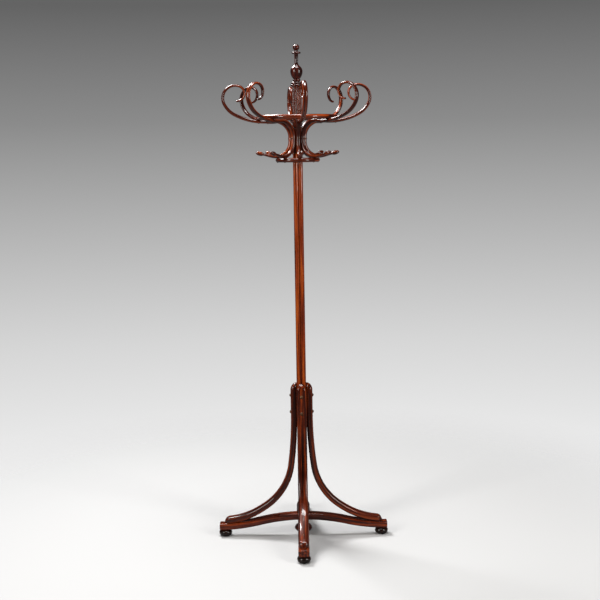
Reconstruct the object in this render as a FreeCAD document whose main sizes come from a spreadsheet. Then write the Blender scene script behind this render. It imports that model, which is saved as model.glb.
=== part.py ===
import FreeCAD, Part
import math
import os
import Sketcher

# A bentwood hat and coat stand: four bent legs and two arched cross bars carry a reeded pole,
# and a head of eight S-shaped arms, tied by two rings, revolves on a steel spindle at its top.
# Millimetres, +Z up. The origin is on the floor, under the pole. The front leg points along -Y.

Vector = FreeCAD.Vector
UP = Vector(0, 0, 1)
OUTWARD = Vector(1, 0, 0)
SIDEWAYS = Vector(0, 1, 0)
ORIGIN = Vector(0, 0, 0)
SHEET = "sizes"
TOUCHING = 0.01

DRIVING_SIZES = {
    # pole
    "pole_top": 1588.0,
    "pole_width": 39.0,
    "pole_lobe_radius": 10.5,
    "pole_boss_radius": 27.0,
    "pole_boss_rise": 31.0,
    "pole_boss_cove": 23.0,
    "pole_boss_cove_radius": 36.8,
    "pole_boss_neck_radius": 16.0,
    # arched cross bars
    "bar_reach": 351.0,
    "bar_width": 44.0,
    "bar_thickness": 27.0,
    "bar_centre_height": 82.5,
    "bar_end_height": 42.0,
    "bar_arch_run": 181.0,
    "bar_edge_round": 6.0,
    "bar_end_round": 3.0,
    "bar_lap_gap": 0.1,
    # legs
    "leg_top": 651.0,
    "leg_width": 40.0,
    "leg_thickness": 26.0,
    "leg_corner_radius": 8.0,
    "leg_head_round": 34.0,
    "leg_toe_round": 24.0,
    "leg_toe_inset": 20.0,
    "leg_end_fullness": 0.5,
    "leg_easing_radius": 1540.0,
    "leg_easing_turn": 8.0,
    "leg_knee_radius": 252.0,
    "leg_knee_turn": 50.0,
    "leg_foot_radius": 303.0,
    "leg_foot_turn": 30.7,
    "leg_seat_depth": 0.5,
    # feet and pendant
    "foot_inset": 24.0,
    "foot_height": 30.0,
    "foot_radius": 26.5,
    "foot_neck_radius": 15.0,
    "foot_base_radius": 16.0,
    "foot_belly_low": 10.8,
    "foot_belly_high": 18.6,
    "foot_neck_low": 27.0,
    "foot_belly_round": 15.0,
    "foot_shoulder_round": 12.6,
    "foot_dowel_radius": 6.0,
    "foot_dowel_length": 14.0,
    "pendant_radius": 37.0,
    "pendant_bottom": 13.5,
    "pendant_ball_top": 46.0,
    "pendant_belly_height": 29.8,
    "pendant_tip_radius": 16.6,
    "pendant_lower_round": 27.6,
    "pendant_upper_round": 20.3,
    "pendant_neck_radius": 23.5,
    "pendant_neck_waist": 21.6,
    # steel tie through the crossing
    "stud_radius": 5.0,
    "stud_in_pole": 60.0,
    "stud_in_pendant": 40.0,
    # revolving bearing
    "spindle_radius": 7.0,
    "spindle_in_pole": 100.0,
    "spindle_in_hub": 108.0,
    "spindle_bevel": 1.4,
    "spindle_end_space": 5.0,
    "washer_radius": 17.0,
    "washer_thickness": 2.0,
    "bush_radius": 10.0,
    "bush_length": 100.0,
    "running_gap": 0.05,
    "thrust_gap": 0.3,
    "fixed_gap": 0.05,
    # hub, capital and finial
    "head_turn": 6.0,
    "hub_length": 264.0,
    "hub_plain_length": 100.0,
    "reed_circle_radius": 15.5,
    "reed_radius": 4.0,
    "reed_valley_radius": 16.5,
    "reed_count": 14.0,
    "capital_height": 16.0,
    "capital_lower_radius": 25.0,
    "capital_lower_thickness": 7.0,
    "capital_lower_round": 4.0,
    "capital_waist_radius": 20.0,
    "capital_upper_radius": 22.9,
    "capital_upper_thickness": 6.7,
    "capital_upper_round": 3.9,
    "finial_foot_radius": 12.0,
    "finial_foot_height": 3.0,
    "finial_bead_top": 14.0,
    "finial_bead_round": 6.3,
    "finial_cup_radius": 14.8,
    "finial_cup_height": 15.5,
    "finial_bulb_radius": 24.3,
    "finial_bulb_height": 43.0,
    "finial_bulb_lower_round": 44.6,
    "finial_bulb_upper_round": 24.5,
    "finial_shoulder_radius": 14.7,
    "finial_shoulder_height": 62.2,
    "finial_neck_cove": 19.7,
    "finial_neck_radius": 6.8,
    "finial_neck_height": 78.0,
    "finial_neck_top_radius": 8.0,
    "finial_disc_radius": 18.0,
    "finial_disc_height": 111.5,
    "finial_disc_thickness": 6.5,
    "finial_disc_round": 3.4,
    "finial_ball_foot_radius": 7.0,
    "finial_ball_height": 136.0,
    "finial_ball_radius": 13.0,
    "finial_dowel_radius": 8.0,
    "finial_dowel_length": 28.0,
    # bent arms
    "arm_count": 8.0,
    "arm_waist_rise": 57.7,
    "arm_waist_radius": 27.5,
    "arm_waist_size": 18.5,
    "arm_seat_depth": 0.6,
    "arm_ring_width": 20.0,
    "arm_ring_thickness": 13.8,
    "arm_sweep_width": 20.5,
    "arm_sweep_thickness": 13.2,
    "arm_bend_width": 20.5,
    "arm_bend_thickness": 12.4,
    "arm_curl_width": 16.5,
    "arm_curl_thickness": 10.2,
    "arm_tip_width": 10.0,
    "arm_tip_thickness": 8.0,
    "arm_tip_round": 2.4,
    "arm_straight": 4.0,
    "hook_straight": 10.5,
    "arm_shoulder_radius": 66.5,
    "arm_shoulder_turn": 97.0,
    "arm_sweep_radius": 250.0,
    "arm_sweep_turn": 35.0,
    "arm_rise_radius": 94.0,
    "arm_rise_turn": 37.0,
    "arm_scroll_radius": 50.0,
    "arm_scroll_turn": 135.0,
    "arm_curl_radius": 30.0,
    "arm_curl_turn": 168.0,
    "hook_radius": 60.0,
    "hook_turn": 96.3,
    "hook_lift_radius": 150.0,
    "hook_lift_turn": 7.0,
    "hook_run": 27.0,
    "hook_width": 15.5,
    "hook_thickness": 13.6,
    "hook_end_width": 14.0,
    "hook_end_thickness": 12.2,
    "hook_neck_size": 9.0,
    "bead_half_length": 17.0,
    "bead_overlap": 3.0,
    "bead_radius": 8.6,
    # rings
    "hat_ring_radius": 154.5,
    "hat_ring_tube": 9.3,
    "tie_ring_radius": 81.0,
    "tie_ring_tube": 8.2,
    "ring_seat_depth": 0.7,
    # screws
    "leg_screw_high": 598.0,
    "leg_screw_low": 528.0,
    "leg_screw_head_radius": 7.0,
    "leg_screw_head_height": 4.8,
    "leg_screw_shank_radius": 2.5,
    "leg_screw_hold": 12.0,
    "toe_screw_inset": 86.0,
    "toe_screw_head_radius": 5.0,
    "toe_screw_head_height": 2.4,
    "toe_screw_shank_radius": 2.0,
    "toe_screw_hold": 14.0,
    "toe_screw_head_sink": 1.3,
    "arm_screw_head_radius": 4.5,
    "arm_screw_head_height": 2.6,
    "arm_screw_shank_radius": 2.0,
    "arm_screw_hold": 7.0,
    "hat_screw_hold": 4.6,
    "tie_screw_hold": 10.0,
    "screw_head_sink": 0.9,
    "screw_slot_width": 1.2,
    "screw_slot_depth": 1.0,
    "screw_point_length": 5.0,
    "screw_tip_radius": 0.6,
    "screw_gap": 0.1,
}

doc = FreeCAD.newDocument("coat_stand")
sheet = doc.addObject("Spreadsheet::Sheet", SHEET)
for row, (alias, number) in enumerate(DRIVING_SIZES.items(), start=1):
    sheet.set(f"A{row}", alias.replace("_", " "))
    sheet.set(f"B{row}", str(number))
    sheet.setAlias(f"B{row}", alias)
doc.recompute()


def value(alias):
    """The number that the sheet holds under an alias."""
    return float(sheet.get(alias))


class Size:
    """A size worked out from the sheet: its number now, and the formula that keeps it bound."""

    def __init__(self, number, formula):
        self.number = number
        self.formula = formula

    def __add__(self, other):
        other = sized(other)
        return Size(self.number + other.number, f"({self.formula} + {other.formula})")

    def __sub__(self, other):
        other = sized(other)
        return Size(self.number - other.number, f"({self.formula} - {other.formula})")

    def __mul__(self, other):
        other = sized(other)
        return Size(self.number * other.number, f"({self.formula} * {other.formula})")

    def __truediv__(self, other):
        other = sized(other)
        return Size(self.number / other.number, f"({self.formula} / {other.formula})")

    def __neg__(self):
        return self * -1


def sized(item):
    return item if isinstance(item, Size) else Size(float(item), repr(float(item)))


def size(alias):
    return Size(value(alias), f"{SHEET}.{alias}")


def sine(angle):
    return Size(math.sin(math.radians(angle.number)), f"sin({angle.formula})")


def cosine(angle):
    return Size(math.cos(math.radians(angle.number)), f"cos({angle.formula})")


def arc_tangent(ratio):
    return Size(math.degrees(math.atan(ratio.number)), f"(atan({ratio.formula}) / 1 deg)")


def other_side(longest, side):
    """The third side of a right triangle."""
    number = math.sqrt(longest.number**2 - side.number**2)
    return Size(number, f"sqrt({longest.formula}^2 - {side.formula}^2)")


def arc_bulge(chord, radius):
    """How far an arc stands out past its chord."""
    return radius - other_side(radius, chord / 2)


# ---- helpers for bodies, sketches and features


def bind(target, path, amount):
    target.setExpression(path, sized(amount).formula)


def new_body(label):
    body = doc.addObject("PartDesign::Body", label)
    body.Label = label
    return body


def new_sketch(body, name, role, lift=0):
    """An empty sketch on one of the body's own origin planes, lifted along that plane's normal."""
    sketch = body.newObject("Sketcher::SketchObject", name)
    plane = [item for item in body.Origin.OriginFeatures if item.Role == role][0]
    sketch.AttachmentSupport = [(plane, "")]
    sketch.MapMode = "FlatFace"
    bind(sketch, "AttachmentOffset.Base.z", lift)
    return sketch


def pin_point(sketch, edge, end, across, along):
    """Ties one end of a sketch edge to its place, measured from the sketch's origin."""
    for kind, axis, amount in (("DistanceX", -2, across), ("DistanceY", -1, along)):
        if amount.number == 0:
            sketch.addConstraint(Sketcher.Constraint("PointOnObject", edge, end, axis))
            continue
        index = sketch.addConstraint(Sketcher.Constraint(kind, -1, 1, edge, end, amount.number))
        bind(sketch, f"Constraints[{index}]", amount)


def arc_between(start, finish, radius, turn):
    """The circle arc under half a turn from start to finish, and whether it runs clockwise."""
    chord = finish - start
    middle = (start + finish) * 0.5
    rise = math.sqrt(max(radius**2 - (chord.Length / 2) ** 2, 0.0))
    left = Vector(-chord.y, chord.x, 0).normalize()
    centre = middle + left * rise * turn
    first, last = (start, finish) if turn > 0 else (finish, start)
    angles = [math.atan2(p.y - centre.y, p.x - centre.x) for p in (first, last)]
    circle = Part.Circle(centre, UP, radius)
    return Part.ArcOfCircle(circle, angles[0], angles[1])


def draw_outline(sketch, corners):
    """Draws a closed outline. A corner is (across, along) and a line runs on to the next corner,
    or (across, along, radius, turn) and an arc does: turn is 1 to the left and -1 to the right."""
    corners = [tuple(sized(entry) for entry in corner) for corner in corners]
    ends = []
    for place, corner in enumerate(corners):
        following = corners[(place + 1) % len(corners)]
        start = Vector(corner[0].number, corner[1].number, 0)
        finish = Vector(following[0].number, following[1].number, 0)
        if len(corner) == 2:
            edge = sketch.addGeometry(Part.LineSegment(start, finish))
            ends.append((edge, 1, 2))
            continue
        turn = corner[3].number
        edge = sketch.addGeometry(arc_between(start, finish, corner[2].number, turn))
        ends.append((edge, 1, 2) if turn > 0 else (edge, 2, 1))
    for place, (edge, first, last) in enumerate(ends):
        after, after_first, _ = ends[(place + 1) % len(ends)]
        sketch.addConstraint(Sketcher.Constraint("Coincident", edge, last, after, after_first))
        pin_point(sketch, edge, first, corners[place][0], corners[place][1])
        if len(corners[place]) == 4:
            radius = corners[place][2]
            index = sketch.addConstraint(Sketcher.Constraint("Radius", edge, radius.number))
            bind(sketch, f"Constraints[{index}]", radius)


def draw_circle(sketch, across, along, radius):
    across, along, radius = sized(across), sized(along), sized(radius)
    centre = Vector(across.number, along.number, 0)
    edge = sketch.addGeometry(Part.Circle(centre, UP, radius.number))
    pin_point(sketch, edge, 3, across, along)
    index = sketch.addConstraint(Sketcher.Constraint("Radius", edge, radius.number))
    bind(sketch, f"Constraints[{index}]", radius)


def pad(body, sketch, length, midplane=False):
    feature = body.newObject("PartDesign::Pad", f"{sketch.Name}_pad")
    feature.Profile = sketch
    feature.Midplane = midplane
    bind(feature, "Length", length)
    doc.recompute()
    return feature


def turn_profile(body, sketch):
    """Spins an outline drawn in the XZ plane about the upright axis."""
    feature = body.newObject("PartDesign::Revolution", f"{sketch.Name}_turned")
    feature.Profile = sketch
    feature.ReferenceAxis = (sketch, ["V_Axis"])
    feature.Angle = 360
    doc.recompute()
    return feature


def pocket(body, sketch, length=None, reverse=False, midplane=False):
    """Cuts a sketch into the body, through everything unless a length is given."""
    before = body.Shape.Volume
    feature = body.newObject("PartDesign::Pocket", f"{sketch.Name}_cut")
    feature.Profile = sketch
    feature.Reversed = reverse
    feature.Midplane = midplane
    if length is None:
        feature.Type = "ThroughAll"
    else:
        bind(feature, "Length", length)
    doc.recompute()
    if not body.Shape.Volume < before:
        raise ValueError(f"{feature.Name} cut nothing from {body.Label}")
    return feature


def around(body, features, count, angle=360.0):
    """Repeats features about the body's upright axis."""
    pattern = body.newObject("PartDesign::PolarPattern", f"{features[0].Name}_round")
    pattern.Originals = features
    axis = [item for item in body.Origin.OriginFeatures if item.Role == "Z_Axis"][0]
    pattern.Axis = (axis, [""])
    pattern.Angle = angle
    bind(pattern, "Occurrences", count)
    body.Tip = pattern
    doc.recompute()
    return pattern


def fillet_edges(body, radius, wanted):
    """Rounds the edges of the body's last feature that a test picks."""
    base = body.Tip
    names = [f"Edge{n}" for n, edge in enumerate(base.Shape.Edges, start=1) if wanted(edge)]
    feature = body.newObject("PartDesign::Fillet", f"{body.Name}_round")
    feature.Base = (base, names)
    bind(feature, "Radius", radius)
    doc.recompute()
    return feature


def turn_about_pole(angle, base=ORIGIN):
    rotation = FreeCAD.Rotation(UP, angle)
    return FreeCAD.Placement(rotation.multVec(base), rotation)


def code_piece(label, shape, placement=None):
    """A sub-part whose shape is built in code from the sheet's values."""
    piece = doc.addObject("Part::Feature", label)
    piece.Label = label
    piece.Shape = shape
    if placement is not None:
        piece.Placement = placement
    return piece


# ---- helpers for shapes built in code, in the radial plane: x outward, z up


def follow(start, heading, steps):
    """A path of straight runs (None, length) and tangent arcs (radius, turn in degrees).
    Returns its wire and, at each joint, the point and the heading in degrees."""
    edges = []
    place = Vector(start)
    joints = [(place, heading)]
    for radius, amount in steps:
        facing = math.radians(heading)
        if radius is None:
            finish = place + Vector(math.cos(facing), 0, math.sin(facing)) * amount
            edges.append(Part.makeLine(place, finish))
        else:
            side = math.copysign(radius, amount)
            centre = place + Vector(-math.sin(facing), 0, math.cos(facing)) * side
            middle, finish = (
                centre - Vector(-math.sin(spot), 0, math.cos(spot)) * side
                for spot in (facing + math.radians(amount) / 2, facing + math.radians(amount))
            )
            edges.append(Part.Arc(place, middle, finish).toShape())
            heading += amount
        place = finish
        joints.append((place, heading))
    return Part.Wire(edges), joints


def radial_direction(heading):
    return Vector(math.cos(math.radians(heading)), 0, math.sin(math.radians(heading)))


def section_frame(place, heading):
    """Puts a section drawn flat, its width along x, across a path."""
    across = radial_direction(heading + 90)
    rotation = FreeCAD.Rotation(SIDEWAYS, across, radial_direction(heading), "XYZ")
    return FreeCAD.Placement(place, rotation)


def oval_section(place, heading, width, thickness):
    """An oval across a path: its width lies sideways, and is never less than its thickness."""
    wire = Part.Wire([Part.Ellipse(ORIGIN, width / 2, thickness / 2).toShape()])
    wire.Placement = section_frame(place, heading)
    return wire


def sweep_sections(spine, sections):
    shell = Part.BRepOffsetAPI.MakePipeShell(spine)
    shell.setBiNormalMode(SIDEWAYS)
    for section in sections:
        shell.add(section, False, False)
    shell.build()
    shell.makeSolid()
    return shell.shape()


def rounded_rectangle(place, heading, width, thickness, corner):
    """A rounded rectangle across a path, width sideways."""
    across, along = width / 2 - corner, thickness / 2 - corner
    half_across, half_along = width / 2, thickness / 2
    middle = corner * math.sin(math.pi / 4)
    edges = []
    for turn in range(4):
        right, top = (1, -1, -1, 1)[turn], (1, 1, -1, -1)[turn]
        first = Vector(right * half_across, top * along, 0)
        last = Vector(right * across, top * half_along, 0)
        if right != top:
            first, last = last, first
        centre = Vector(right * across, top * along, 0)
        bulge = centre + Vector(right * middle, top * middle, 0)
        edges.append(Part.Arc(first, bulge, last).toShape())
        if right == top:
            flat_end = Vector(-last.x, last.y, 0)
        else:
            flat_end = Vector(last.x, -last.y, 0)
        edges.append(Part.makeLine(last, flat_end))
    wire = Part.Wire(edges)
    wire.Placement = section_frame(place, heading)
    return wire


def elliptic_prism(centre, reach, half, depth, swap=False):
    """An upright elliptic cylinder, or with swap one lying sideways: reach along x."""
    longer, shorter = max(reach, half), min(reach, half)
    wire = Part.Wire([Part.Ellipse(ORIGIN, longer, shorter).toShape()])
    if half > reach:
        wire.rotate(ORIGIN, UP, 90)
    prism = Part.Face(wire).extrude(UP * depth)
    prism.translate(UP * -depth / 2)
    if swap:
        prism.rotate(ORIGIN, OUTWARD, 90)
    prism.translate(centre)
    return prism


def end_rounding(width, thickness, length):
    """What is cut from a bar that ends at x = 0 to round it: its top side is at +z."""
    block = Part.makeBox(
        2 * length, 2 * width, 2 * thickness, Vector(-length, -width, -thickness)
    )
    fullness = value("leg_end_fullness")
    half, rise = width / 2 + fullness, thickness + fullness
    plan = elliptic_prism(Vector(-length, 0, 0), length, half, 4 * thickness)
    side = elliptic_prism(Vector(-length, 0, -thickness / 2), length, rise, 4 * width, True)
    return block.cut(plan.common(side))


def dome_screw(head_radius, head_height, shank_radius, shank_length):
    """A slotted dome-head wood screw: its head sits on z = 0 and its shank points down."""
    ball_radius = (head_radius**2 + head_height**2) / (2 * head_height)
    ball = Part.makeSphere(ball_radius, Vector(0, 0, head_height - ball_radius))
    head = ball.common(Part.makeCylinder(head_radius, head_height))
    slot_width = value("screw_slot_width")
    slot_depth = value("screw_slot_depth")
    slot = Part.makeBox(2 * head_radius, slot_width, slot_depth)
    slot.translate(Vector(-head_radius, -slot_width / 2, head_height - slot_depth))
    point_length = value("screw_point_length")
    shank = Part.makeCylinder(shank_radius, shank_length - point_length)
    shank.translate(UP * -(shank_length - point_length))
    point = Part.makeCone(value("screw_tip_radius"), shank_radius, point_length)
    point.translate(UP * -shank_length)
    return head.cut(slot).fuse([shank, point]).removeSplitter()


def aim(shape, place, direction):
    """Moves a shape that points up at the origin so that it points in a direction at a place."""
    moved = shape.copy()
    moved.Placement = FreeCAD.Placement(place, FreeCAD.Rotation(UP, direction))
    return moved


def spread_round(shape, count, first_angle):
    """Copies of a shape, evenly spaced about the pole."""
    copies = []
    for step in range(count):
        copy = shape.copy()
        copy.rotate(ORIGIN, UP, first_angle + step * 360.0 / count)
        copies.append(copy)
    return copies


# ---- places that several sub-parts share

LEG_NAMES = {"front": -90.0, "right": 0.0, "rear": 90.0, "left": 180.0}
crossing_top = size("bar_centre_height") + size("bar_thickness") / 2
crossing_bottom = size("bar_centre_height") - size("bar_thickness") / 2
hub_bottom = size("pole_top") + size("washer_thickness") + size("thrust_gap")
hub_top = hub_bottom + size("hub_length")
capital_top = hub_top + size("capital_height")
hub_apothem = size("arm_waist_radius") - size("arm_waist_size") / 2 + size("arm_seat_depth")
foot_reach = size("bar_reach") - size("foot_inset")
toe_screw_reach = size("bar_reach") - size("toe_screw_inset")
stud_hole_radius = size("stud_radius") + size("fixed_gap")
spindle_hole_radius = size("spindle_radius") + size("fixed_gap")
waist_height = hub_bottom.number + value("arm_waist_rise")
first_arm_angle = value("head_turn") - 90.0
arm_total = int(round(value("arm_count")))


def bar_curve():
    """The cross bar's centreline: a crown arc and, either side, an end arc that turns back."""
    drop = size("bar_centre_height") - size("bar_end_height")
    slope = arc_tangent(drop / size("bar_reach")) * 2
    crown = size("bar_arch_run") / sine(slope)
    tail = (size("bar_reach") - size("bar_arch_run")) / sine(slope)
    turning_height = size("bar_centre_height") - crown * (sized(1) - cosine(slope))
    return slope, crown, tail, turning_height


def bar_top_at(reach):
    """Height of a cross bar's top face near its end, at a distance from the pole's axis."""
    _, _, tail, _ = bar_curve()
    radius = tail.number - value("bar_thickness") / 2
    centre_height = value("bar_end_height") + tail.number
    return centre_height - math.sqrt(radius**2 - (value("bar_reach") - reach) ** 2)


# ---- the stand


def make_pole():
    """The pole: four reeds worked on its corners, a turned boss at its foot, and its borings."""
    body = new_body("pole")
    lobe = size("pole_lobe_radius")
    centre = size("pole_width") / 2 - lobe
    pole_length = size("pole_top") - crossing_top
    zero = sized(0)
    core = new_sketch(body, "pole_core", "XY_Plane", crossing_top)
    corners = [(centre, -centre), (centre, centre), (-centre, centre), (-centre, -centre)]
    draw_outline(core, corners)
    pad(body, core, pole_length)
    # neighbouring reeds meet at a quirk in the middle of each face
    reed = new_sketch(body, "pole_reed", "XY_Plane", crossing_top)
    draw_circle(reed, centre, centre, lobe)
    reed_pad = pad(body, reed, pole_length)
    around(body, [reed_pad], sized(4))

    boss = size("pole_boss_radius")
    boss_top = crossing_top + size("pole_boss_rise")
    cove = size("pole_boss_cove")
    neck = size("pole_boss_neck_radius")
    profile = new_sketch(body, "pole_boss", "XZ_Plane")
    draw_outline(
        profile,
        [
            (zero, crossing_top),
            (boss, crossing_top),
            (boss, boss_top, size("pole_boss_cove_radius"), 1),
            (neck, boss_top + cove),
            (zero, boss_top + cove),
        ],
    )
    turn_profile(body, profile)

    socket = new_sketch(body, "spindle_socket", "XY_Plane", size("pole_top"))
    draw_circle(socket, 0, 0, spindle_hole_radius)
    pocket(body, socket, size("spindle_in_pole"))
    tie_socket = new_sketch(body, "tie_socket", "XY_Plane", crossing_top)
    draw_circle(tie_socket, 0, 0, stud_hole_radius)
    pocket(body, tie_socket, size("stud_in_pole") + size("screw_gap"), reverse=True)
    for role, side in (("XZ_Plane", "across"), ("YZ_Plane", "along")):
        pilots = new_sketch(body, f"leg_pilots_{side}", role)
        for height in ("leg_screw_high", "leg_screw_low"):
            draw_circle(pilots, 0, size(height), size("leg_screw_shank_radius") + size("screw_gap"))
        pocket(body, pilots, midplane=True)


def make_cross_bar(label, angle, notch_on_top):
    """An arched cross bar, half lapped over or under its fellow, bored for feet, tie and screws."""
    body = new_body(label)
    slope, crown, tail, turning_height = bar_curve()
    half = size("bar_thickness") / 2
    reach = size("bar_reach")
    end = size("bar_end_height")
    over = size("bar_arch_run") + half * sine(slope)
    under = size("bar_arch_run") - half * sine(slope)
    over_height = turning_height + half * cosine(slope)
    under_height = turning_height - half * cosine(slope)
    profile = new_sketch(body, f"{label}_side", "XZ_Plane")
    draw_outline(
        profile,
        [
            (-reach, end + half, tail - half, 1),
            (-over, over_height, crown + half, -1),
            (over, over_height, tail - half, 1),
            (reach, end + half),
            (reach, end - half, tail + half, -1),
            (under, under_height, crown - half, 1),
            (-under, under_height, tail + half, -1),
            (-reach, end - half),
        ],
    )
    pad(body, profile, size("bar_width"), midplane=True)

    edge_side = value("bar_width") / 2
    far = value("bar_reach")

    def runs_along(edge):
        box = edge.BoundBox
        side = abs(edge.CenterOfMass.y)
        return box.XLength > value("bar_width") and abs(side - edge_side) < TOUCHING

    def on_end(edge):
        box = edge.BoundBox
        reach = max(abs(box.XMin), abs(box.XMax))
        return abs(reach - far) < TOUCHING and box.XLength < TOUCHING

    fillet_edges(body, size("bar_edge_round"), runs_along)
    fillet_edges(body, size("bar_end_round"), on_end)

    lap_half = size("bar_width") / 2 + size("bar_lap_gap")
    lap = new_sketch(body, f"{label}_lap", "XY_Plane", size("bar_centre_height"))
    wide = size("bar_width")
    draw_outline(lap, [(-lap_half, -wide), (lap_half, -wide), (lap_half, wide), (-lap_half, wide)])
    pocket(body, lap, size("bar_thickness"), reverse=notch_on_top)
    tie = new_sketch(body, f"{label}_tie", "XY_Plane")
    draw_circle(tie, 0, 0, stud_hole_radius)
    pocket(body, tie, reverse=True)
    pendant_seat = new_sketch(body, f"{label}_pendant_seat", "XY_Plane")
    draw_circle(pendant_seat, 0, 0, size("pendant_neck_radius") + size("screw_gap"))
    pocket(body, pendant_seat, crossing_bottom, reverse=True)
    for side, place in (("far", foot_reach), ("near", -foot_reach)):
        seat = new_sketch(body, f"{label}_foot_seat_{side}", "XY_Plane")
        draw_circle(seat, place, 0, size("foot_neck_radius") + size("screw_gap"))
        pocket(body, seat, size("foot_height"), reverse=True)
        dowel = new_sketch(body, f"{label}_foot_dowel_{side}", "XY_Plane")
        draw_circle(dowel, place, 0, size("foot_dowel_radius") + size("fixed_gap"))
        dowel_top = size("foot_height") + size("foot_dowel_length") + size("screw_gap")
        pocket(body, dowel, dowel_top, reverse=True)
    for side, place in (("far", toe_screw_reach), ("near", -toe_screw_reach)):
        pilot = new_sketch(body, f"{label}_toe_pilot_{side}", "XY_Plane")
        draw_circle(pilot, place, 0, size("toe_screw_shank_radius") + size("screw_gap"))
        pocket(body, pilot, reverse=True)
    body.Placement = turn_about_pole(angle)


def leg_path():
    """The leg's centreline, from its top down the pole and out along the cross bar. Its straight
    runs are as long as its other sizes need to reach the toe."""
    pole_side = value("pole_width") / 2 + value("leg_thickness") / 2
    toe_reach = value("bar_reach") - value("leg_toe_inset")
    bends = [
        (value("leg_easing_radius"), value("leg_easing_turn")),
        (value("leg_knee_radius"), value("leg_knee_turn")),
        (value("leg_foot_radius"), value("leg_foot_turn")),
    ]
    _, curve = follow(ORIGIN, -90.0, bends)
    slope = curve[2][1]
    bent = curve[-1][0]
    run_direction = radial_direction(slope)
    run = (toe_reach - pole_side - bent.x) / run_direction.x
    toe_height = bar_top_at(toe_reach) + value("leg_thickness") / 2 - value("leg_seat_depth")
    straight = value("leg_top") - toe_height + bent.z + run * run_direction.z
    steps = [(None, straight), bends[0], bends[1], (None, run), bends[2]]
    return follow(Vector(pole_side, 0, value("leg_top")), -90.0, steps)


def leg_screw_seat(height):
    """Where the head of a leg screw rests: on the leg's outer face, clear of the bend below it."""
    _, joints = leg_path()
    bend = joints[1][0]
    below = max(0.0, bend.z - height + value("leg_screw_head_radius"))
    easing = value("leg_easing_radius")
    face_radius = easing - value("leg_thickness") / 2
    return Vector(bend.x + easing - math.sqrt(face_radius**2 - below**2), 0, height)


def toe_screw_seat():
    """Where the head of a toe screw sits: let into the leg's upper face, over the cross bar."""
    _, joints = leg_path()
    toe, heading = joints[-1]
    centre = toe + radial_direction(heading + 90) * value("leg_foot_radius")
    face_radius = value("leg_foot_radius") - value("leg_thickness") / 2
    across = toe_screw_reach.number - centre.x
    face_height = centre.z - math.sqrt(face_radius**2 - across**2)
    return Vector(toe_screw_reach.number, 0, face_height - value("toe_screw_head_sink"))


def make_legs():
    """Four bent legs, screwed to the pole's faces and to the cross bars' ends."""
    width, thickness = value("leg_width"), value("leg_thickness")
    spine, joints = leg_path()
    top, toe = joints[0], joints[-1]
    section = rounded_rectangle(top[0], top[1], width, thickness, value("leg_corner_radius"))
    leg = sweep_sections(spine, [section])

    head_cut = end_rounding(width, thickness, value("leg_head_round"))
    head_cut.rotate(ORIGIN, SIDEWAYS, -90)
    head_cut.rotate(ORIGIN, UP, 180)
    head_cut.translate(top[0])
    toe_cut = end_rounding(width, thickness, value("leg_toe_round"))
    toe_cut.rotate(ORIGIN, SIDEWAYS, -toe[1])
    toe_cut.translate(toe[0])

    # the toe is let down on to the cross bar, whose top face is an arc there
    _, _, tail, _ = bar_curve()
    seat_radius = tail.number - value("bar_thickness") / 2
    seat_centre = Vector(value("bar_reach"), 0, value("bar_end_height") + tail.number)
    bar_end = Part.makeBox(
        value("bar_reach"), 2 * width, seat_radius, Vector(value("bar_arch_run"), -width, 0)
    )
    hollow = Part.makeCylinder(seat_radius, 2 * width, seat_centre - SIDEWAYS * width, SIDEWAYS)
    below_bar_top = bar_end.cut(hollow)

    cuts = [head_cut, toe_cut, below_bar_top]
    shank = value("leg_screw_shank_radius") + value("screw_gap")
    for height in (value("leg_screw_high"), value("leg_screw_low")):
        cuts.append(Part.makeCylinder(shank, 4 * thickness, Vector(0, 0, height), OUTWARD))
    seat = toe_screw_seat()
    toe_shank = value("toe_screw_shank_radius") + value("screw_gap")
    cuts.append(Part.makeCylinder(toe_shank, 2 * thickness, seat - UP * 2 * thickness, UP))
    head_hole = value("toe_screw_head_radius") + value("screw_gap")
    cuts.append(Part.makeCylinder(head_hole, thickness, seat, UP))
    leg = leg.cut(cuts)
    for name, angle in LEG_NAMES.items():
        code_piece(f"leg_{name}", leg, turn_about_pole(angle))


def make_feet():
    """Turned bun feet, dowelled into the cross bars' ends."""
    zero = sized(0)
    height = size("foot_height")
    neck = size("foot_neck_radius")
    belly = size("foot_radius")
    base = size("foot_base_radius")
    dowel = size("foot_dowel_radius")
    dowel_top = height + size("foot_dowel_length")
    belly_round = size("foot_belly_round")
    shoulder_round = size("foot_shoulder_round")
    for name, angle in LEG_NAMES.items():
        body = new_body(f"foot_{name}")
        profile = new_sketch(body, f"foot_{name}_profile", "XZ_Plane")
        draw_outline(
            profile,
            [
                (zero, zero),
                (base, zero, belly_round, 1),
                (belly, size("foot_belly_low"), belly_round, 1),
                (belly, size("foot_belly_high"), shoulder_round, 1),
                (neck, size("foot_neck_low")),
                (neck, height),
                (dowel, height),
                (dowel, dowel_top),
                (zero, dowel_top),
            ],
        )
        turn_profile(body, profile)
        body.Placement = turn_about_pole(angle, OUTWARD * foot_reach.number)


def make_pendant():
    """The turned drop under the crossing, bored for the tie."""
    body = new_body("base_pendant")
    zero = sized(0)
    bottom, shoulder = size("pendant_bottom"), size("pendant_ball_top")
    girth = size("pendant_radius")
    neck = size("pendant_neck_radius")
    profile = new_sketch(body, "pendant_profile", "XZ_Plane")
    draw_outline(
        profile,
        [
            (zero, bottom),
            (size("pendant_tip_radius"), bottom, size("pendant_lower_round"), 1),
            (girth, size("pendant_belly_height"), size("pendant_upper_round"), 1),
            (neck, shoulder),
            (size("pendant_neck_waist"), (shoulder + crossing_bottom) / 2),
            (neck, crossing_bottom),
            (zero, crossing_bottom),
        ],
    )
    turn_profile(body, profile)
    socket = new_sketch(body, "pendant_socket", "XY_Plane", crossing_bottom)
    draw_circle(socket, 0, 0, stud_hole_radius)
    pocket(body, socket, size("stud_in_pendant") + size("screw_gap"))


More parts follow.
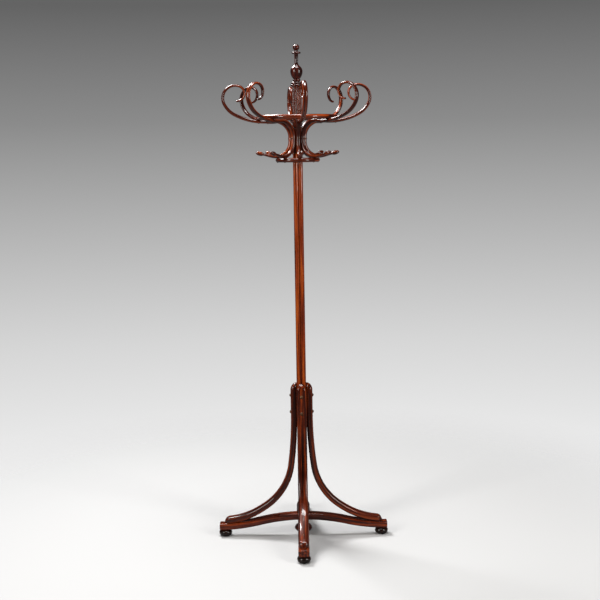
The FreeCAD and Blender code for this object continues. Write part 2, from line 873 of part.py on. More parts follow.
def make_tie_stud():
    """The steel stud that draws pendant, cross bars and pole together."""
    stud = doc.addObject("Part::Cylinder", "tie_stud")
    bind(stud, "Radius", size("stud_radius"))
    rise = crossing_top - crossing_bottom
    bind(stud, "Height", size("stud_in_pendant") + rise + size("stud_in_pole"))
    bind(stud, "Placement.Base.z", crossing_bottom - size("stud_in_pendant"))


def make_leg_screws():
    head = value("leg_screw_head_radius"), value("leg_screw_head_height")
    shank = value("leg_screw_shank_radius")
    thickness = value("leg_thickness")
    screw = dome_screw(*head, shank, thickness + value("leg_screw_hold"))
    row = [
        aim(screw, leg_screw_seat(value(height)), OUTWARD)
        for height in ("leg_screw_high", "leg_screw_low")
    ]
    code_piece("leg_pole_screws", Part.Compound(spread_round(Part.Compound(row), 4, 0)))

    length = thickness + value("toe_screw_hold")
    head = value("toe_screw_head_radius"), value("toe_screw_head_height")
    toe_screw = dome_screw(*head, value("toe_screw_shank_radius"), length)
    toe_screw.translate(toe_screw_seat())
    code_piece("leg_toe_screws", Part.Compound(spread_round(toe_screw, 4, 0)))


def make_bearing():
    """The steel spindle and brass washer fixed on the pole, and the brass bush in the hub."""
    spindle = doc.addObject("Part::Cylinder", "spindle_rod")
    bind(spindle, "Radius", size("spindle_radius"))
    above = size("washer_thickness") + size("thrust_gap") + size("spindle_in_hub")
    bind(spindle, "Height", size("spindle_in_pole") + above)
    bind(spindle, "Placement.Base.z", size("pole_top") - size("spindle_in_pole"))
    doc.recompute()
    rounded = doc.addObject("Part::Chamfer", "head_spindle")
    rounded.Base = spindle
    bevel = value("spindle_bevel")
    top_edges = [
        number
        for number, edge in enumerate(spindle.Shape.Edges, start=1)
        if edge.BoundBox.ZLength < TOUCHING
    ]
    rounded.Edges = [(number, bevel, bevel) for number in top_edges]

    make_sleeve(
        "thrust_washer",
        size("washer_radius"),
        spindle_hole_radius,
        size("washer_thickness"),
        size("pole_top"),
    )
    make_sleeve(
        "hub_bush",
        size("bush_radius"),
        size("spindle_radius") + size("running_gap"),
        size("bush_length"),
        hub_bottom,
    )


def make_sleeve(label, outer, inner, length, bottom):
    outside = doc.addObject("Part::Cylinder", f"{label}_outside")
    inside = doc.addObject("Part::Cylinder", f"{label}_inside")
    for cylinder, radius in ((outside, outer), (inside, inner)):
        bind(cylinder, "Radius", radius)
        bind(cylinder, "Height", length)
        bind(cylinder, "Placement.Base.z", bottom)
    sleeve = doc.addObject("Part::Cut", label)
    sleeve.Base = outside
    sleeve.Tool = inside


def make_hub():
    """The head's post: a lower part with a flat for each arm, and reeds above it."""
    body = new_body("hub")
    half_side = sized(180) / size("arm_count")
    corner_radius = hub_apothem / cosine(half_side)
    corners = []
    for step in range(arm_total):
        bearing = half_side * (2 * step + 1)
        corners.append((corner_radius * cosine(bearing), corner_radius * sine(bearing)))
    block = new_sketch(body, "hub_block", "XY_Plane", hub_bottom)
    draw_outline(block, corners)
    pad(body, block, size("hub_plain_length"))

    reed_start = hub_bottom + size("hub_plain_length")
    reed_length = size("hub_length") - size("hub_plain_length")
    core = new_sketch(body, "hub_core", "XY_Plane", reed_start)
    draw_circle(core, 0, 0, size("reed_valley_radius"))
    pad(body, core, reed_length)
    reed = new_sketch(body, "hub_reed", "XY_Plane", reed_start)
    draw_circle(reed, size("reed_circle_radius"), 0, size("reed_radius"))
    reed_pad = pad(body, reed, reed_length)
    around(body, [reed_pad], size("reed_count"))

    bore = new_sketch(body, "hub_bore", "XY_Plane", hub_bottom)
    draw_circle(bore, 0, 0, size("bush_radius") + size("fixed_gap"))
    pocket(body, bore, size("spindle_in_hub") + size("spindle_end_space"), reverse=True)
    socket = new_sketch(body, "finial_socket", "XY_Plane", hub_top)
    draw_circle(socket, 0, 0, size("finial_dowel_radius") + size("fixed_gap"))
    pocket(body, socket, size("finial_dowel_length") + size("screw_gap"))
    pilot = new_sketch(body, "arm_pilot", "YZ_Plane")
    waist = hub_bottom + size("arm_waist_rise")
    draw_circle(pilot, 0, waist, size("arm_screw_shank_radius") + size("screw_gap"))
    pilot_cut = pocket(body, pilot, reverse=True)
    around(body, [pilot_cut], size("arm_count"))
    body.Placement = turn_about_pole(first_arm_angle)


def make_capital():
    """The turned collar that caps the reeds: two rounds with a hollow between."""
    body = new_body("capital")
    bore = size("finial_dowel_radius") + size("fixed_gap")
    lower_thickness = size("capital_lower_thickness")
    upper_thickness = size("capital_upper_thickness")
    lower_round = size("capital_lower_round")
    upper_round = size("capital_upper_round")
    lower = size("capital_lower_radius") - arc_bulge(lower_thickness, lower_round)
    upper = size("capital_upper_radius") - arc_bulge(upper_thickness, upper_round)
    waist = size("capital_waist_radius")
    profile = new_sketch(body, "capital_profile", "XZ_Plane")
    draw_outline(
        profile,
        [
            (bore, hub_top),
            (lower, hub_top, lower_round, 1),
            (lower, hub_top + lower_thickness),
            (waist, hub_top + lower_thickness),
            (waist, capital_top - upper_thickness),
            (upper, capital_top - upper_thickness, upper_round, 1),
            (upper, capital_top),
            (bore, capital_top),
        ],
    )
    turn_profile(body, profile)


def make_finial():
    """The turned finial: bead, cup and onion bulb, slim neck, disc and ball, with its dowel."""
    body = new_body("finial")
    zero = sized(0)
    dowel = size("finial_dowel_radius")
    dowel_end = hub_top - size("finial_dowel_length")
    foot = size("finial_foot_radius")
    ball = size("finial_ball_radius")
    ball_foot = size("finial_ball_foot_radius")
    ball_centre = capital_top + size("finial_ball_height")
    disc_bottom = capital_top + size("finial_disc_height")
    disc_thickness = size("finial_disc_thickness")
    disc_round = size("finial_disc_round")
    disc_edge = size("finial_disc_radius") - arc_bulge(disc_thickness, disc_round)
    heights = ("foot_height", "bead_top", "cup_height", "bulb_height")
    foot_top, bead_top, cup, belly = (capital_top + size(f"finial_{name}") for name in heights)
    shoulder = capital_top + size("finial_shoulder_height")
    neck = capital_top + size("finial_neck_height")
    profile = new_sketch(body, "finial_profile", "XZ_Plane")
    draw_outline(
        profile,
        [
            (zero, dowel_end),
            (dowel, dowel_end),
            (dowel, capital_top),
            (foot, capital_top),
            (foot, foot_top, size("finial_bead_round"), 1),
            (foot, bead_top),
            (size("finial_cup_radius"), cup, size("finial_bulb_lower_round"), 1),
            (size("finial_bulb_radius"), belly, size("finial_bulb_upper_round"), 1),
            (size("finial_shoulder_radius"), shoulder, size("finial_neck_cove"), -1),
            (size("finial_neck_radius"), neck),
            (size("finial_neck_top_radius"), disc_bottom),
            (disc_edge, disc_bottom, disc_round, 1),
            (disc_edge, disc_bottom + disc_thickness),
            (ball_foot, disc_bottom + disc_thickness),
            (ball_foot, ball_centre - other_side(ball, ball_foot), ball, 1),
            (ball, ball_centre, ball, 1),
            (zero, ball_centre + ball),
        ],
    )
    turn_profile(body, profile)


def arm_stations():
    """The arm's path from its hook's neck to its scroll's tip, with its section at each joint."""
    waist = Vector(value("arm_waist_radius"), 0, waist_height)
    upper_steps = [
        (None, value("arm_straight")),
        (value("arm_shoulder_radius"), -value("arm_shoulder_turn")),
        (value("arm_sweep_radius"), value("arm_sweep_turn")),
        (value("arm_rise_radius"), value("arm_rise_turn")),
        (value("arm_scroll_radius"), value("arm_scroll_turn")),
        (value("arm_curl_radius"), value("arm_curl_turn")),
    ]
    lower_steps = [
        (None, value("hook_straight")),
        (value("hook_radius"), value("hook_turn")),
        (value("hook_lift_radius"), value("hook_lift_turn")),
        (None, value("hook_run")),
    ]
    upper, upper_joints = follow(waist, 90.0, upper_steps)
    lower, lower_joints = follow(waist, -90.0, lower_steps)
    turned_back = [(place, heading + 180.0) for place, heading in reversed(lower_joints)]
    joints = turned_back + upper_joints[1:]
    waist_size = value("arm_waist_size")
    sections = [
        (value("hook_neck_size"), value("hook_neck_size")),
        (value("hook_end_width"), value("hook_end_thickness")),
        (value("hook_width"), value("hook_thickness")),
        (waist_size, waist_size),
        (waist_size, waist_size),
        (waist_size, waist_size),
        (value("arm_ring_width"), value("arm_ring_thickness")),
        (value("arm_sweep_width"), value("arm_sweep_thickness")),
        (value("arm_bend_width"), value("arm_bend_thickness")),
        (value("arm_curl_width"), value("arm_curl_thickness")),
        (value("arm_tip_width"), value("arm_tip_thickness")),
    ]
    spine = Part.Wire(list(reversed(lower.Edges)) + list(upper.Edges))
    return spine, joints, sections


def ring_height(arm, radius, tube, from_above):
    """Where a ring of a given radius comes to rest on the arm: its centre's height."""
    far = hub_top.number if from_above else 0.0
    probe = Part.makeLine(Vector(radius, 0, waist_height), Vector(radius, 0, far))
    crossing = arm.common(probe).BoundBox
    sunk = tube - value("ring_seat_depth")
    return crossing.ZMax + sunk if from_above else crossing.ZMin - sunk


def make_arm_blank():
    """One S-shaped arm, swept from its hook to its scroll, with the hook's egg-shaped bead."""
    spine, joints, sections = arm_stations()
    ovals = [oval_section(*joint, *oval) for joint, oval in zip(joints, sections)]
    arm = sweep_sections(spine, ovals)
    tip = joints[-1][0]
    near_tip = value("arm_tip_round")
    tip_edges = [edge for edge in arm.Edges if (edge.CenterOfMass - tip).Length < near_tip]
    arm = arm.makeFillet(near_tip, tip_edges)

    neck, neck_heading = joints[0]
    outward = radial_direction(neck_heading + 180.0)
    half_length = value("bead_half_length")
    oval = Part.Ellipse(ORIGIN, half_length, value("bead_radius"))
    half_oval = Part.Arc(oval, 0, math.pi).toShape()
    outline = Part.Wire([half_oval, Part.makeLine(OUTWARD * -half_length, OUTWARD * half_length)])
    bead = Part.Face(outline).revolve(ORIGIN, OUTWARD, 360)
    bead_place = neck + outward * (half_length - value("bead_overlap"))
    bead.Placement = FreeCAD.Placement(bead_place, FreeCAD.Rotation(OUTWARD, outward))
    return arm.fuse(bead)


def head_places(arm):
    """Heights of the two rings, and where the three kinds of arm screw sit and end."""
    sink = value("screw_head_sink")
    hat_reach, tie_reach = value("hat_ring_radius"), value("tie_ring_radius")
    hat = ring_height(arm, hat_reach, value("hat_ring_tube"), True)
    tie = ring_height(arm, tie_reach, value("tie_ring_tube"), False)
    # the hat ring's screws come up through the arms, and the lower ring's up through the ring
    probe = Part.makeLine(Vector(hat_reach, 0, waist_height), Vector(hat_reach, 0, hat))
    under_arm = arm.common(probe).BoundBox.ZMin
    waist_outer = value("arm_waist_radius") + value("arm_waist_size") / 2
    return {
        "hat": hat,
        "tie": tie,
        "hat_screw": Vector(hat_reach, 0, under_arm + sink),
        "hat_screw_end": hat + value("hat_screw_hold"),
        "tie_screw": Vector(tie_reach, 0, tie - value("tie_ring_tube") + sink),
        "tie_screw_end": tie + value("tie_ring_tube") + value("tie_screw_hold"),
        "waist_screw": Vector(waist_outer - sink, 0, waist_height),
    }


def rising_hole(place, end):
    """What a screw driven upwards takes out: a hole for its shank, and one for its head."""
    gap = value("screw_gap")
    sink = 4 * value("screw_head_sink")
    shank = Part.makeCylinder(value("arm_screw_shank_radius") + gap, end + gap - place.z, place, UP)
    head = Part.makeCylinder(value("arm_screw_head_radius") + gap, sink, place - UP * sink, UP)
    return [shank, head]


def make_arms(blank, places):
    """Eight arms, each seated on its flat of the hub and against both rings."""
    gap = value("fixed_gap")
    hat_tube, tie_tube = value("hat_ring_tube") + gap, value("tie_ring_tube") + gap
    hat_seat = Part.makeTorus(value("hat_ring_radius"), hat_tube, UP * places["hat"])
    tie_seat = Part.makeTorus(value("tie_ring_radius"), tie_tube, UP * places["tie"])
    apothem = hub_apothem.number
    hub_side = Vector(0, -apothem, hub_bottom.number)
    flat = Part.makeBox(apothem, 2 * apothem, value("hub_length"), hub_side)
    cuts = [hat_seat, tie_seat, flat]
    cuts += rising_hole(places["hat_screw"], places["hat_screw_end"])
    cuts += rising_hole(places["tie_screw"], places["tie_screw_end"])[:1]

    waist_screw = places["waist_screw"]
    shank = value("arm_screw_shank_radius") + value("screw_gap")
    head = value("arm_screw_head_radius") + value("screw_gap")
    cuts.append(Part.makeCylinder(shank, waist_screw.x, Vector(0, 0, waist_height), OUTWARD))
    cuts.append(Part.makeCylinder(head, waist_screw.x, waist_screw, OUTWARD))
    arm = blank.cut(cuts)
    for step in range(arm_total):
        angle = first_arm_angle + step * 360.0 / arm_total
        code_piece(f"scroll_arm_{step + 1}", arm, turn_about_pole(angle))


def make_ring(label, height, hole):
    """A bent ring, bored for its screws where it crosses the arms."""
    ring = Part.makeTorus(value(f"{label}_radius"), value(f"{label}_tube"), UP * height)
    tools = spread_round(Part.Compound(hole), arm_total, first_arm_angle)
    code_piece(label, ring.cut(tools))


def make_arm_screws(places):
    head = value("arm_screw_head_radius"), value("arm_screw_head_height")
    shank = value("arm_screw_shank_radius")
    hat_screw, tie_screw, waist_screw = (
        places[name] for name in ("hat_screw", "tie_screw", "waist_screw")
    )
    waist_length = waist_screw.x - hub_apothem.number + value("arm_screw_hold")
    groups = {
        "arm_hub_screws": (waist_length, waist_screw, OUTWARD),
        "hat_ring_screws": (places["hat_screw_end"] - hat_screw.z, hat_screw, -UP),
        "tie_ring_screws": (places["tie_screw_end"] - tie_screw.z, tie_screw, -UP),
    }
    for label, (length, place, direction) in groups.items():
        screw = aim(dome_screw(*head, shank, length), place, direction)
        code_piece(label, Part.Compound(spread_round(screw, arm_total, first_arm_angle)))


def make_head():
    """The arms and the two rings that tie them, with their screws."""
    blank = make_arm_blank()
    places = head_places(blank)
    make_arms(blank, places)
    make_ring("hat_ring", places["hat"], rising_hole(places["hat_screw"], places["hat_screw_end"])[:1])
    make_ring("tie_ring", places["tie"], rising_hole(places["tie_screw"], places["tie_screw_end"]))
    make_arm_screws(places)
    print(f"hat ring at {places['hat']:.1f}, tie ring at {places['tie']:.1f}")


make_pole()
make_cross_bar("cross_bar_side", 0.0, True)
make_cross_bar("cross_bar_front_rear", -90.0, False)
make_legs()
make_feet()
make_pendant()
make_tie_stud()
make_leg_screws()
make_bearing()
make_hub()
make_capital()
make_finial()
make_head()

SUB_PARTS = (
    ["pole", "cross_bar_side", "cross_bar_front_rear"]
    + [f"leg_{name}" for name in LEG_NAMES]
    + [f"foot_{name}" for name in LEG_NAMES]
    + ["base_pendant", "tie_stud", "leg_pole_screws", "leg_toe_screws"]
    + ["head_spindle", "thrust_washer", "hub_bush", "hub", "capital", "finial"]
    + [f"scroll_arm_{step + 1}" for step in range(arm_total)]
    + ["hat_ring", "tie_ring", "arm_hub_screws", "hat_ring_screws", "tie_ring_screws"]
)

doc.recompute()
for item in doc.Objects:
    if "Invalid" in item.State or "Error" in item.State:
        raise ValueError(f"{item.Name} did not compute: {item.State}")
for label in SUB_PARTS:
    shape = doc.getObject(label).Shape
    if shape.isNull() or not shape.isValid():
        raise ValueError(f"{label} has no valid shape")

os.makedirs("parts", exist_ok=True)
for label in SUB_PARTS:
    piece = doc.getObject(label)
    piece.Shape.exportStep(os.path.join("parts", f"{label}.step"))
    print(f"{label}: {len(piece.Shape.Solids)} solid(s), {piece.Shape.Volume / 1000:.1f} cm3")
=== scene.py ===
import bpy
import math
from mathutils import Matrix, Vector


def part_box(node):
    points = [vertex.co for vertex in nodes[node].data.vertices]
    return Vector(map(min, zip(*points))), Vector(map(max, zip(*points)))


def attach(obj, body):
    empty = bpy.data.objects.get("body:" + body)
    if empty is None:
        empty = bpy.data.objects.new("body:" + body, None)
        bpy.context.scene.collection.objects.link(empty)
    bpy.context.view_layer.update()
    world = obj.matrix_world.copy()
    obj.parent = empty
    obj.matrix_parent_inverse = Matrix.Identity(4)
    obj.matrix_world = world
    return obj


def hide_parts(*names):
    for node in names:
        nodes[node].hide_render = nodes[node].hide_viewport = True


# A bentwood hat and coat stand in mahogany-stained beech under French polish.
# Blender works in metres; every size in a dictionary is in millimetres, every turn in degrees.

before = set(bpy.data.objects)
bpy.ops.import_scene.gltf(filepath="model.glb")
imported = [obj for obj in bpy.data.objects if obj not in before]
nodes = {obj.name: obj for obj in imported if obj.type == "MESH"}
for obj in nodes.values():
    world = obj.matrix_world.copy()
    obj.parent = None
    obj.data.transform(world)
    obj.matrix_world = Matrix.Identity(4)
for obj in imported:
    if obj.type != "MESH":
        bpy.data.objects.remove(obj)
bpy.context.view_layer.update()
scene = bpy.context.scene
mm = 0.001
print("frame loaded")


def linearColour(hexCode):
    channels = [int(hexCode[i:i + 2], 16) / 255 for i in (1, 3, 5)]
    return [c / 12.92 if c <= 0.04045 else ((c + 0.055) / 1.055) ** 2.4 for c in channels] + [1.0]


def addNode(tree, kind, inputs=None, stops=(), **settings):
    node = tree.nodes.new(kind)
    for name, amount in settings.items():
        setattr(node, name, amount)
    for number, (place, colour) in enumerate(stops):   # a colour ramp starts with two stops
        elements = node.color_ramp.elements
        stop = elements[number] if number < 2 else elements.new(place)
        stop.position, stop.color = place, linearColour(colour)
    for key, amount in (inputs or {}).items():
        if isinstance(amount, bpy.types.NodeSocket):
            tree.links.new(amount, node.inputs[key])
        else:
            node.inputs[key].default_value = amount
    return node


def newMaterial(name):
    material = bpy.data.materials.new(name)
    material.use_nodes = True
    material.node_tree.nodes.clear()
    return material, material.node_tree


# Wood. The polish is a clear gloss film over the stain: sharp highlights on a deep, dark body.

bentwood = {
    "name": "frenchPolishedBentBeech",   # near-black mahogany that turns red where light grazes it
    "place": "grainPlace",   # the grain follows the bend: across, through and along the stick
    "dark": "#130401", "middle": "#4c1606", "light": "#a8440f", "spread": (0.36, 0.66),
    "fibre": 1.1, "fibreLength": 42.0,     # beech fibre bundles, drawn coarse enough to show
    "fibreShare": 0.42,                    # the rest of the colour's change is the figure
    "figure": 9.0, "figureLength": 260.0,  # the slow change of stain along the stick
    "fleck": 1.3, "fleckLength": 6.0, "fleckFrom": 0.60, "fleckTo": 0.72,   # ray flecks of beech
    "fleckShare": 0.35,
    "paintedGrooveShade": "#0a0201", "paintedGrooveShadeStrength": 0.94,  # painted shade for the grooves, near-black, and how strongly it darkens them
    "rubbed": 60.0, "rubbedDown": 0.06, "rubbedUp": 0.08,   # patches rubbed more and less glossy
    "fibreRelief": 0.16, "fibreDepth": 0.25,
    "ripple": 14.0, "rippleRelief": 0.10, "rippleDepth": 0.6,   # the film was laid on by hand
    "roughness": 0.30, "specular": 0.18, "coat": 0.65, "coatRoughness": 0.045,
}
turnedwood = dict(
    bentwood,
    name="frenchPolishedTurnedBeech",   # end grain drinks more stain, so turnings look darker
    place=None,              # grain runs up the turning
    dark="#120301", middle="#330b04", light="#6e220a",
)
footwood = dict(
    turnedwood,
    name="ebonisedTurnedFoot",   # the feet are stained almost black
    dark="#080302", middle="#1a0b06", light="#38190b",
)
postwood = dict(
    turnedwood,
    name="frenchPolishedHubBeech",   # warm reeds; the quirks between them are painted near-black as shade
    dark="#1c0502", middle="#5c1c08", light="#a84c14",
    # distances from the hub's axis: shade is painted into the quirks between the reeds, darkest
    # inside the first
    groove=(17.1, 18.8),
)
polewood = dict(
    bentwood,
    name="frenchPolishedPoleBeech",   # the pole is rubbed through to a bright orange-brown
    place=None,
    dark="#431303", middle="#96360a", light="#d06418",
    groove=(14.6, 17.6),     # distances from the pole's axis: shade is painted into the quirks, darkest inside the first
)


def polishedWood(wood):
    # stained beech under many rubbed coats of shellac: deep colour, clear gloss, faint ripple
    material, tree = newMaterial(wood["name"])
    if wood["place"]:
        place = addNode(tree, "ShaderNodeAttribute", attribute_name=wood["place"]).outputs["Vector"]
    else:
        place = addNode(tree, "ShaderNodeTexCoord").outputs["Object"]
    shift = addNode(tree, "ShaderNodeAttribute", attribute_name="grainShift").outputs["Vector"]
    place = addNode(tree, "ShaderNodeVectorMath", {0: place, 1: shift}, operation="ADD").outputs[0]

    def streaks(width, length, detail, roughness):
        scale = (1 / (width * mm), 1 / (width * mm), 1 / (length * mm))
        stretched = addNode(tree, "ShaderNodeMapping", {"Vector": place, "Scale": scale})
        return addNode(
            tree, "ShaderNodeTexNoise",
            {"Vector": stretched.outputs[0], "Scale": 1.0,
             "Detail": detail, "Roughness": roughness},
        ).outputs["Fac"]

    fibre = streaks(wood["fibre"], wood["fibreLength"], 3.0, 0.6)
    figure = streaks(wood["figure"], wood["figureLength"], 2.0, 0.5)
    fleck = streaks(wood["fleck"], wood["fleckLength"], 1.0, 0.4)
    blend = addNode(
        tree, "ShaderNodeMix", {"Factor": wood["fibreShare"], "A": figure, "B": fibre},
        data_type="FLOAT",
    ).outputs[0]
    low, high = wood["spread"]
    stops = [(low, wood["dark"]), (high, wood["light"]), ((low + high) / 2, wood["middle"])]
    stain = addNode(tree, "ShaderNodeValToRGB", {"Fac": blend}, stops).outputs["Color"]
    flecked = addNode(
        tree, "ShaderNodeMapRange",
        {"Value": fleck, "From Min": wood["fleckFrom"], "From Max": wood["fleckTo"],
         "To Min": 0.0, "To Max": wood["fleckShare"]},
    ).outputs[0]
    colour = addNode(
        tree, "ShaderNodeMix",
        {"Factor": flecked, "A": stain, "B": linearColour(wood["dark"])}, data_type="RGBA",
    ).outputs["Result"]

    # painted shade: the colour darkens towards the axis, into the grooves between the reeds
    if "groove" in wood:
        whole = addNode(tree, "ShaderNodeTexCoord").outputs["Object"]
        level = addNode(
            tree, "ShaderNodeVectorMath", {0: whole, 1: (1, 1, 0)}, operation="MULTIPLY"
        ).outputs[0]
        reach = addNode(
            tree, "ShaderNodeVectorMath", {0: level}, operation="LENGTH"
        ).outputs["Value"]
        inner, outer = (distance * mm for distance in wood["groove"])
        paintedGrooveShade = addNode(
            tree, "ShaderNodeMapRange",
            {"Value": reach, "From Min": inner, "From Max": outer,
             "To Min": wood["paintedGrooveShadeStrength"], "To Max": 0.0},
        ).outputs[0]
        colour = addNode(
            tree, "ShaderNodeMix",
            {"Factor": paintedGrooveShade, "A": colour, "B": linearColour(wood["paintedGrooveShade"])}, data_type="RGBA",
        ).outputs["Result"]

    rubbed = addNode(
        tree, "ShaderNodeTexNoise",
        {"Vector": place, "Scale": 1 / (wood["rubbed"] * mm), "Detail": 2.0},
    ).outputs["Fac"]
    roughness = addNode(
        tree, "ShaderNodeMapRange",
        {"Value": rubbed, "From Min": 0.35, "From Max": 0.65,
         "To Min": wood["roughness"] - wood["rubbedDown"],
         "To Max": wood["roughness"] + wood["rubbedUp"]},
    ).outputs[0]
    grooves = addNode(
        tree, "ShaderNodeBump",
        {"Height": fibre, "Strength": wood["fibreRelief"], "Distance": wood["fibreDepth"] * mm},
    ).outputs[0]
    ripple = addNode(
        tree, "ShaderNodeTexNoise",
        {"Vector": place, "Scale": 1 / (wood["ripple"] * mm), "Detail": 1.0},
    ).outputs["Fac"]
    film = addNode(
        tree, "ShaderNodeBump",
        {"Height": ripple, "Strength": wood["rippleRelief"], "Distance": wood["rippleDepth"] * mm},
    ).outputs[0]
    shader = addNode(
        tree, "ShaderNodeBsdfPrincipled",
        {"Base Color": colour, "Roughness": roughness, "Normal": grooves,
         "Specular IOR Level": wood["specular"], "IOR": 1.5,
         "Coat Weight": wood["coat"], "Coat Roughness": wood["coatRoughness"], "Coat IOR": 1.5,
         "Coat Normal": film},
    )
    addNode(tree, "ShaderNodeOutputMaterial", {"Surface": shader.outputs[0]})
    return material


# Metal.

metals = {
    "brownedScrewSteel": {      # dull brown specks with a bright worn crown
        "base": "#3c2110", "worn": "#94643a", "patch": 3.0, "grit": 0.8, "gritDepth": 0.1,
        "rough": (0.2, 0.38), "metal": 0.35,
    },
    "drawnSpindleSteel": {      # cool grey, faintly streaked
        "base": "#8d8b87", "worn": "#b7b4ae", "patch": 3.0, "grit": 0.5, "gritDepth": 0.1,
        "rough": (0.16, 0.32), "metal": 1.0,
    },
    "turnedBearingBrass": {     # warm yellow, bright where it rubs
        "base": "#9a7433", "worn": "#c9a25a", "patch": 3.0, "grit": 0.6, "gritDepth": 0.1,
        "rough": (0.2, 0.38), "metal": 1.0,
    },
}


def bareMetal(name, metal):
    # screws carry a browned oxide skin, worn through on their crowns; bar and bearing are bare
    material, tree = newMaterial(name)
    place = addNode(tree, "ShaderNodeTexCoord").outputs["Object"]
    wear = addNode(
        tree, "ShaderNodeTexNoise",
        {"Vector": place, "Scale": 1 / (metal["patch"] * mm), "Detail": 3.0},
    ).outputs["Fac"]
    stops = [(0.42, metal["base"]), (0.75, metal["worn"])]
    colour = addNode(tree, "ShaderNodeValToRGB", {"Fac": wear}, stops).outputs["Color"]
    low, high = metal["rough"]
    roughness = addNode(
        tree, "ShaderNodeMapRange",
        {"Value": wear, "From Min": 0.3, "From Max": 0.7, "To Min": high, "To Max": low},
    ).outputs[0]
    grit = addNode(
        tree, "ShaderNodeTexNoise",
        {"Vector": place, "Scale": 1 / (metal["grit"] * mm), "Detail": 2.0},
    ).outputs["Fac"]
    marks = addNode(
        tree, "ShaderNodeBump",
        {"Height": grit, "Strength": 0.15, "Distance": metal["gritDepth"] * mm},
    ).outputs[0]
    shader = addNode(
        tree, "ShaderNodeBsdfPrincipled",
        {"Base Color": colour, "Roughness": roughness, "Normal": marks,
         "Metallic": metal["metal"]},
    )
    addNode(tree, "ShaderNodeOutputMaterial", {"Surface": shader.outputs[0]})
    return material


bentFinish = polishedWood(bentwood)
turnedFinish = polishedWood(turnedwood)
footFinish = polishedWood(footwood)
postFinish = polishedWood(postwood)
poleFinish = polishedWood(polewood)
screwFinish, spindleFinish, brassFinish = (bareMetal(name, metal) for name, metal in metals.items())
print("finishes made")


# Shapes that follow a path or turn on a lathe.

def makePiece(name, points, faces, grain=None, finish=None):
    mesh = bpy.data.meshes.new(name)
    mesh.from_pydata([Vector(point) * mm for point in points], [], faces)
    mesh.validate()
    mesh.polygons.foreach_set("use_smooth", [True] * len(mesh.polygons))
    if grain:
        attribute = mesh.attributes.new("grainPlace", "FLOAT_VECTOR", "POINT")
        attribute.data.foreach_set("vector", [number * mm for spot in grain for number in spot])
    if finish:
        mesh.materials.append(finish)
    piece = bpy.data.objects.new(name, mesh)
    scene.collection.objects.link(piece)
    return piece


def wallFaces(rings):
    # faces from each ring of points to the next; a ring of one point is a tip
    faces = []
    for low, high in zip(rings, rings[1:]):
        sides = max(len(low), len(high))
        for side in range(sides):
            after = (side + 1) % sides
            if len(low) == 1:
                faces.append((low[0], high[after], high[side]))
            elif len(high) == 1:
                faces.append((low[side], low[after], high[0]))
            else:
                faces.append((low[side], low[after], high[after], high[side]))
    return faces


def follow(start, heading, steps, stride=3.5):
    # straight runs (None, length) and tangent arcs (radius, turn), in the plane of x and z
    place, angle, travelled = Vector(start), math.radians(heading), 0.0
    stations, joints = [(place.copy(), angle, travelled)], [(place.copy(), angle, travelled)]
    for radius, amount in steps:
        length = amount if radius is None else radius * math.radians(abs(amount))
        parts = max(2, math.ceil(length / stride))
        begin, first = place.copy(), angle
        for part in range(1, parts + 1):
            share = part / parts
            if radius is None:
                place = begin + Vector((math.cos(angle), 0, math.sin(angle))) * amount * share
            else:
                side = math.copysign(radius, amount)
                angle = first + math.radians(amount) * share
                centre = begin + Vector((-math.sin(first), 0, math.cos(first))) * side
                place = centre - Vector((-math.sin(angle), 0, math.cos(angle))) * side
            stations.append((place.copy(), angle, travelled + length * share))
        travelled += length
        joints.append((place.copy(), angle, travelled))
    return stations, joints


def sweepPiece(name, stations, section, finish):
    # section gives the outline (across, through) at a distance along the path
    points, grain = [], []
    for place, angle, along in stations:
        up = Vector((-math.sin(angle), 0, math.cos(angle)))
        for across, through in section(along):
            points.append(place + up * through + Vector((0, across, 0)))
            grain.append((across, through, along))
    sides = len(section(0.0))
    rings = [list(range(ring * sides, (ring + 1) * sides)) for ring in range(len(stations))]
    faces = wallFaces(rings)
    for rim, turned in ((rings[0], True), (rings[-1], False)):
        middle = len(points)
        points.append(sum((points[spot] for spot in rim), Vector()) / sides)
        grain.append(tuple(sum(grain[spot][axis] for spot in rim) / sides for axis in range(3)))
        for side in range(sides):
            pair = (rim[side], rim[(side + 1) % sides])
            faces.append((pair[1], pair[0], middle) if turned else (pair[0], pair[1], middle))
    return makePiece(name, points, faces, grain, finish)


def closeEnds(stations, steps):
    # a few close stations inside each end, where the section turns in
    (start, heading, near), (end, leaving, far) = stations[0], stations[-1]
    ahead = Vector((math.cos(heading), 0, math.sin(heading)))
    onward = Vector((math.cos(leaving), 0, math.sin(leaving)))
    lead = [(start + ahead * step, heading, near + step) for step in steps]
    trail = [(end - onward * step, leaving, far - step) for step in reversed(steps)]
    return [stations[0]] + lead + stations[1:-1] + trail + [stations[-1]]


def oval(width, thickness, sides=28):
    turns = [2 * math.pi * step / sides for step in range(sides)]
    return [(width / 2 * math.cos(turn), thickness / 2 * math.sin(turn)) for turn in turns]


def roundedBar(halfWidth, top, bottom, corner, crown=0.0, steps=6):
    corner = max(0.05, min(corner, halfWidth * 0.98, (top - bottom) * 0.49))
    spots = []
    for quarter, (right, high) in enumerate(((1, 1), (-1, 1), (-1, -1), (1, -1))):
        centre = (right * (halfWidth - corner), top - corner if high > 0 else bottom + corner)
        for step in range(steps + 1):
            turn = math.pi / 2 * (quarter + step / steps)
            spots.append((centre[0] + corner * math.cos(turn), centre[1] + corner * math.sin(turn)))
        if quarter == 0:   # the outer face is gently crowned, as rubbed-down bentwood is
            edge = spots[-1][0]
            spots += [(edge * quarters / 4, top) for quarters in (3, 2, 1, 0, -1, -2, -3)]
    middle = (top + bottom) / 2
    return [(x, z - crown * (x / halfWidth) ** 2 if z > middle else z) for x, z in spots]


def smoothSteps(table, along):
    # sizes at named distances along a path, eased from each to the next
    for (start, first), (end, last) in zip(table, table[1:]):
        if along <= end:
            share = min(1.0, max(0.0, (along - start) / max(end - start, 1e-6)))
            return [a + (b - a) * share for a, b in zip(first, last)]
    return table[-1][1]


turning = {"stride": 1.2, "sides": 72, "edgeRound": 0.35, "creaseAngle": 32}


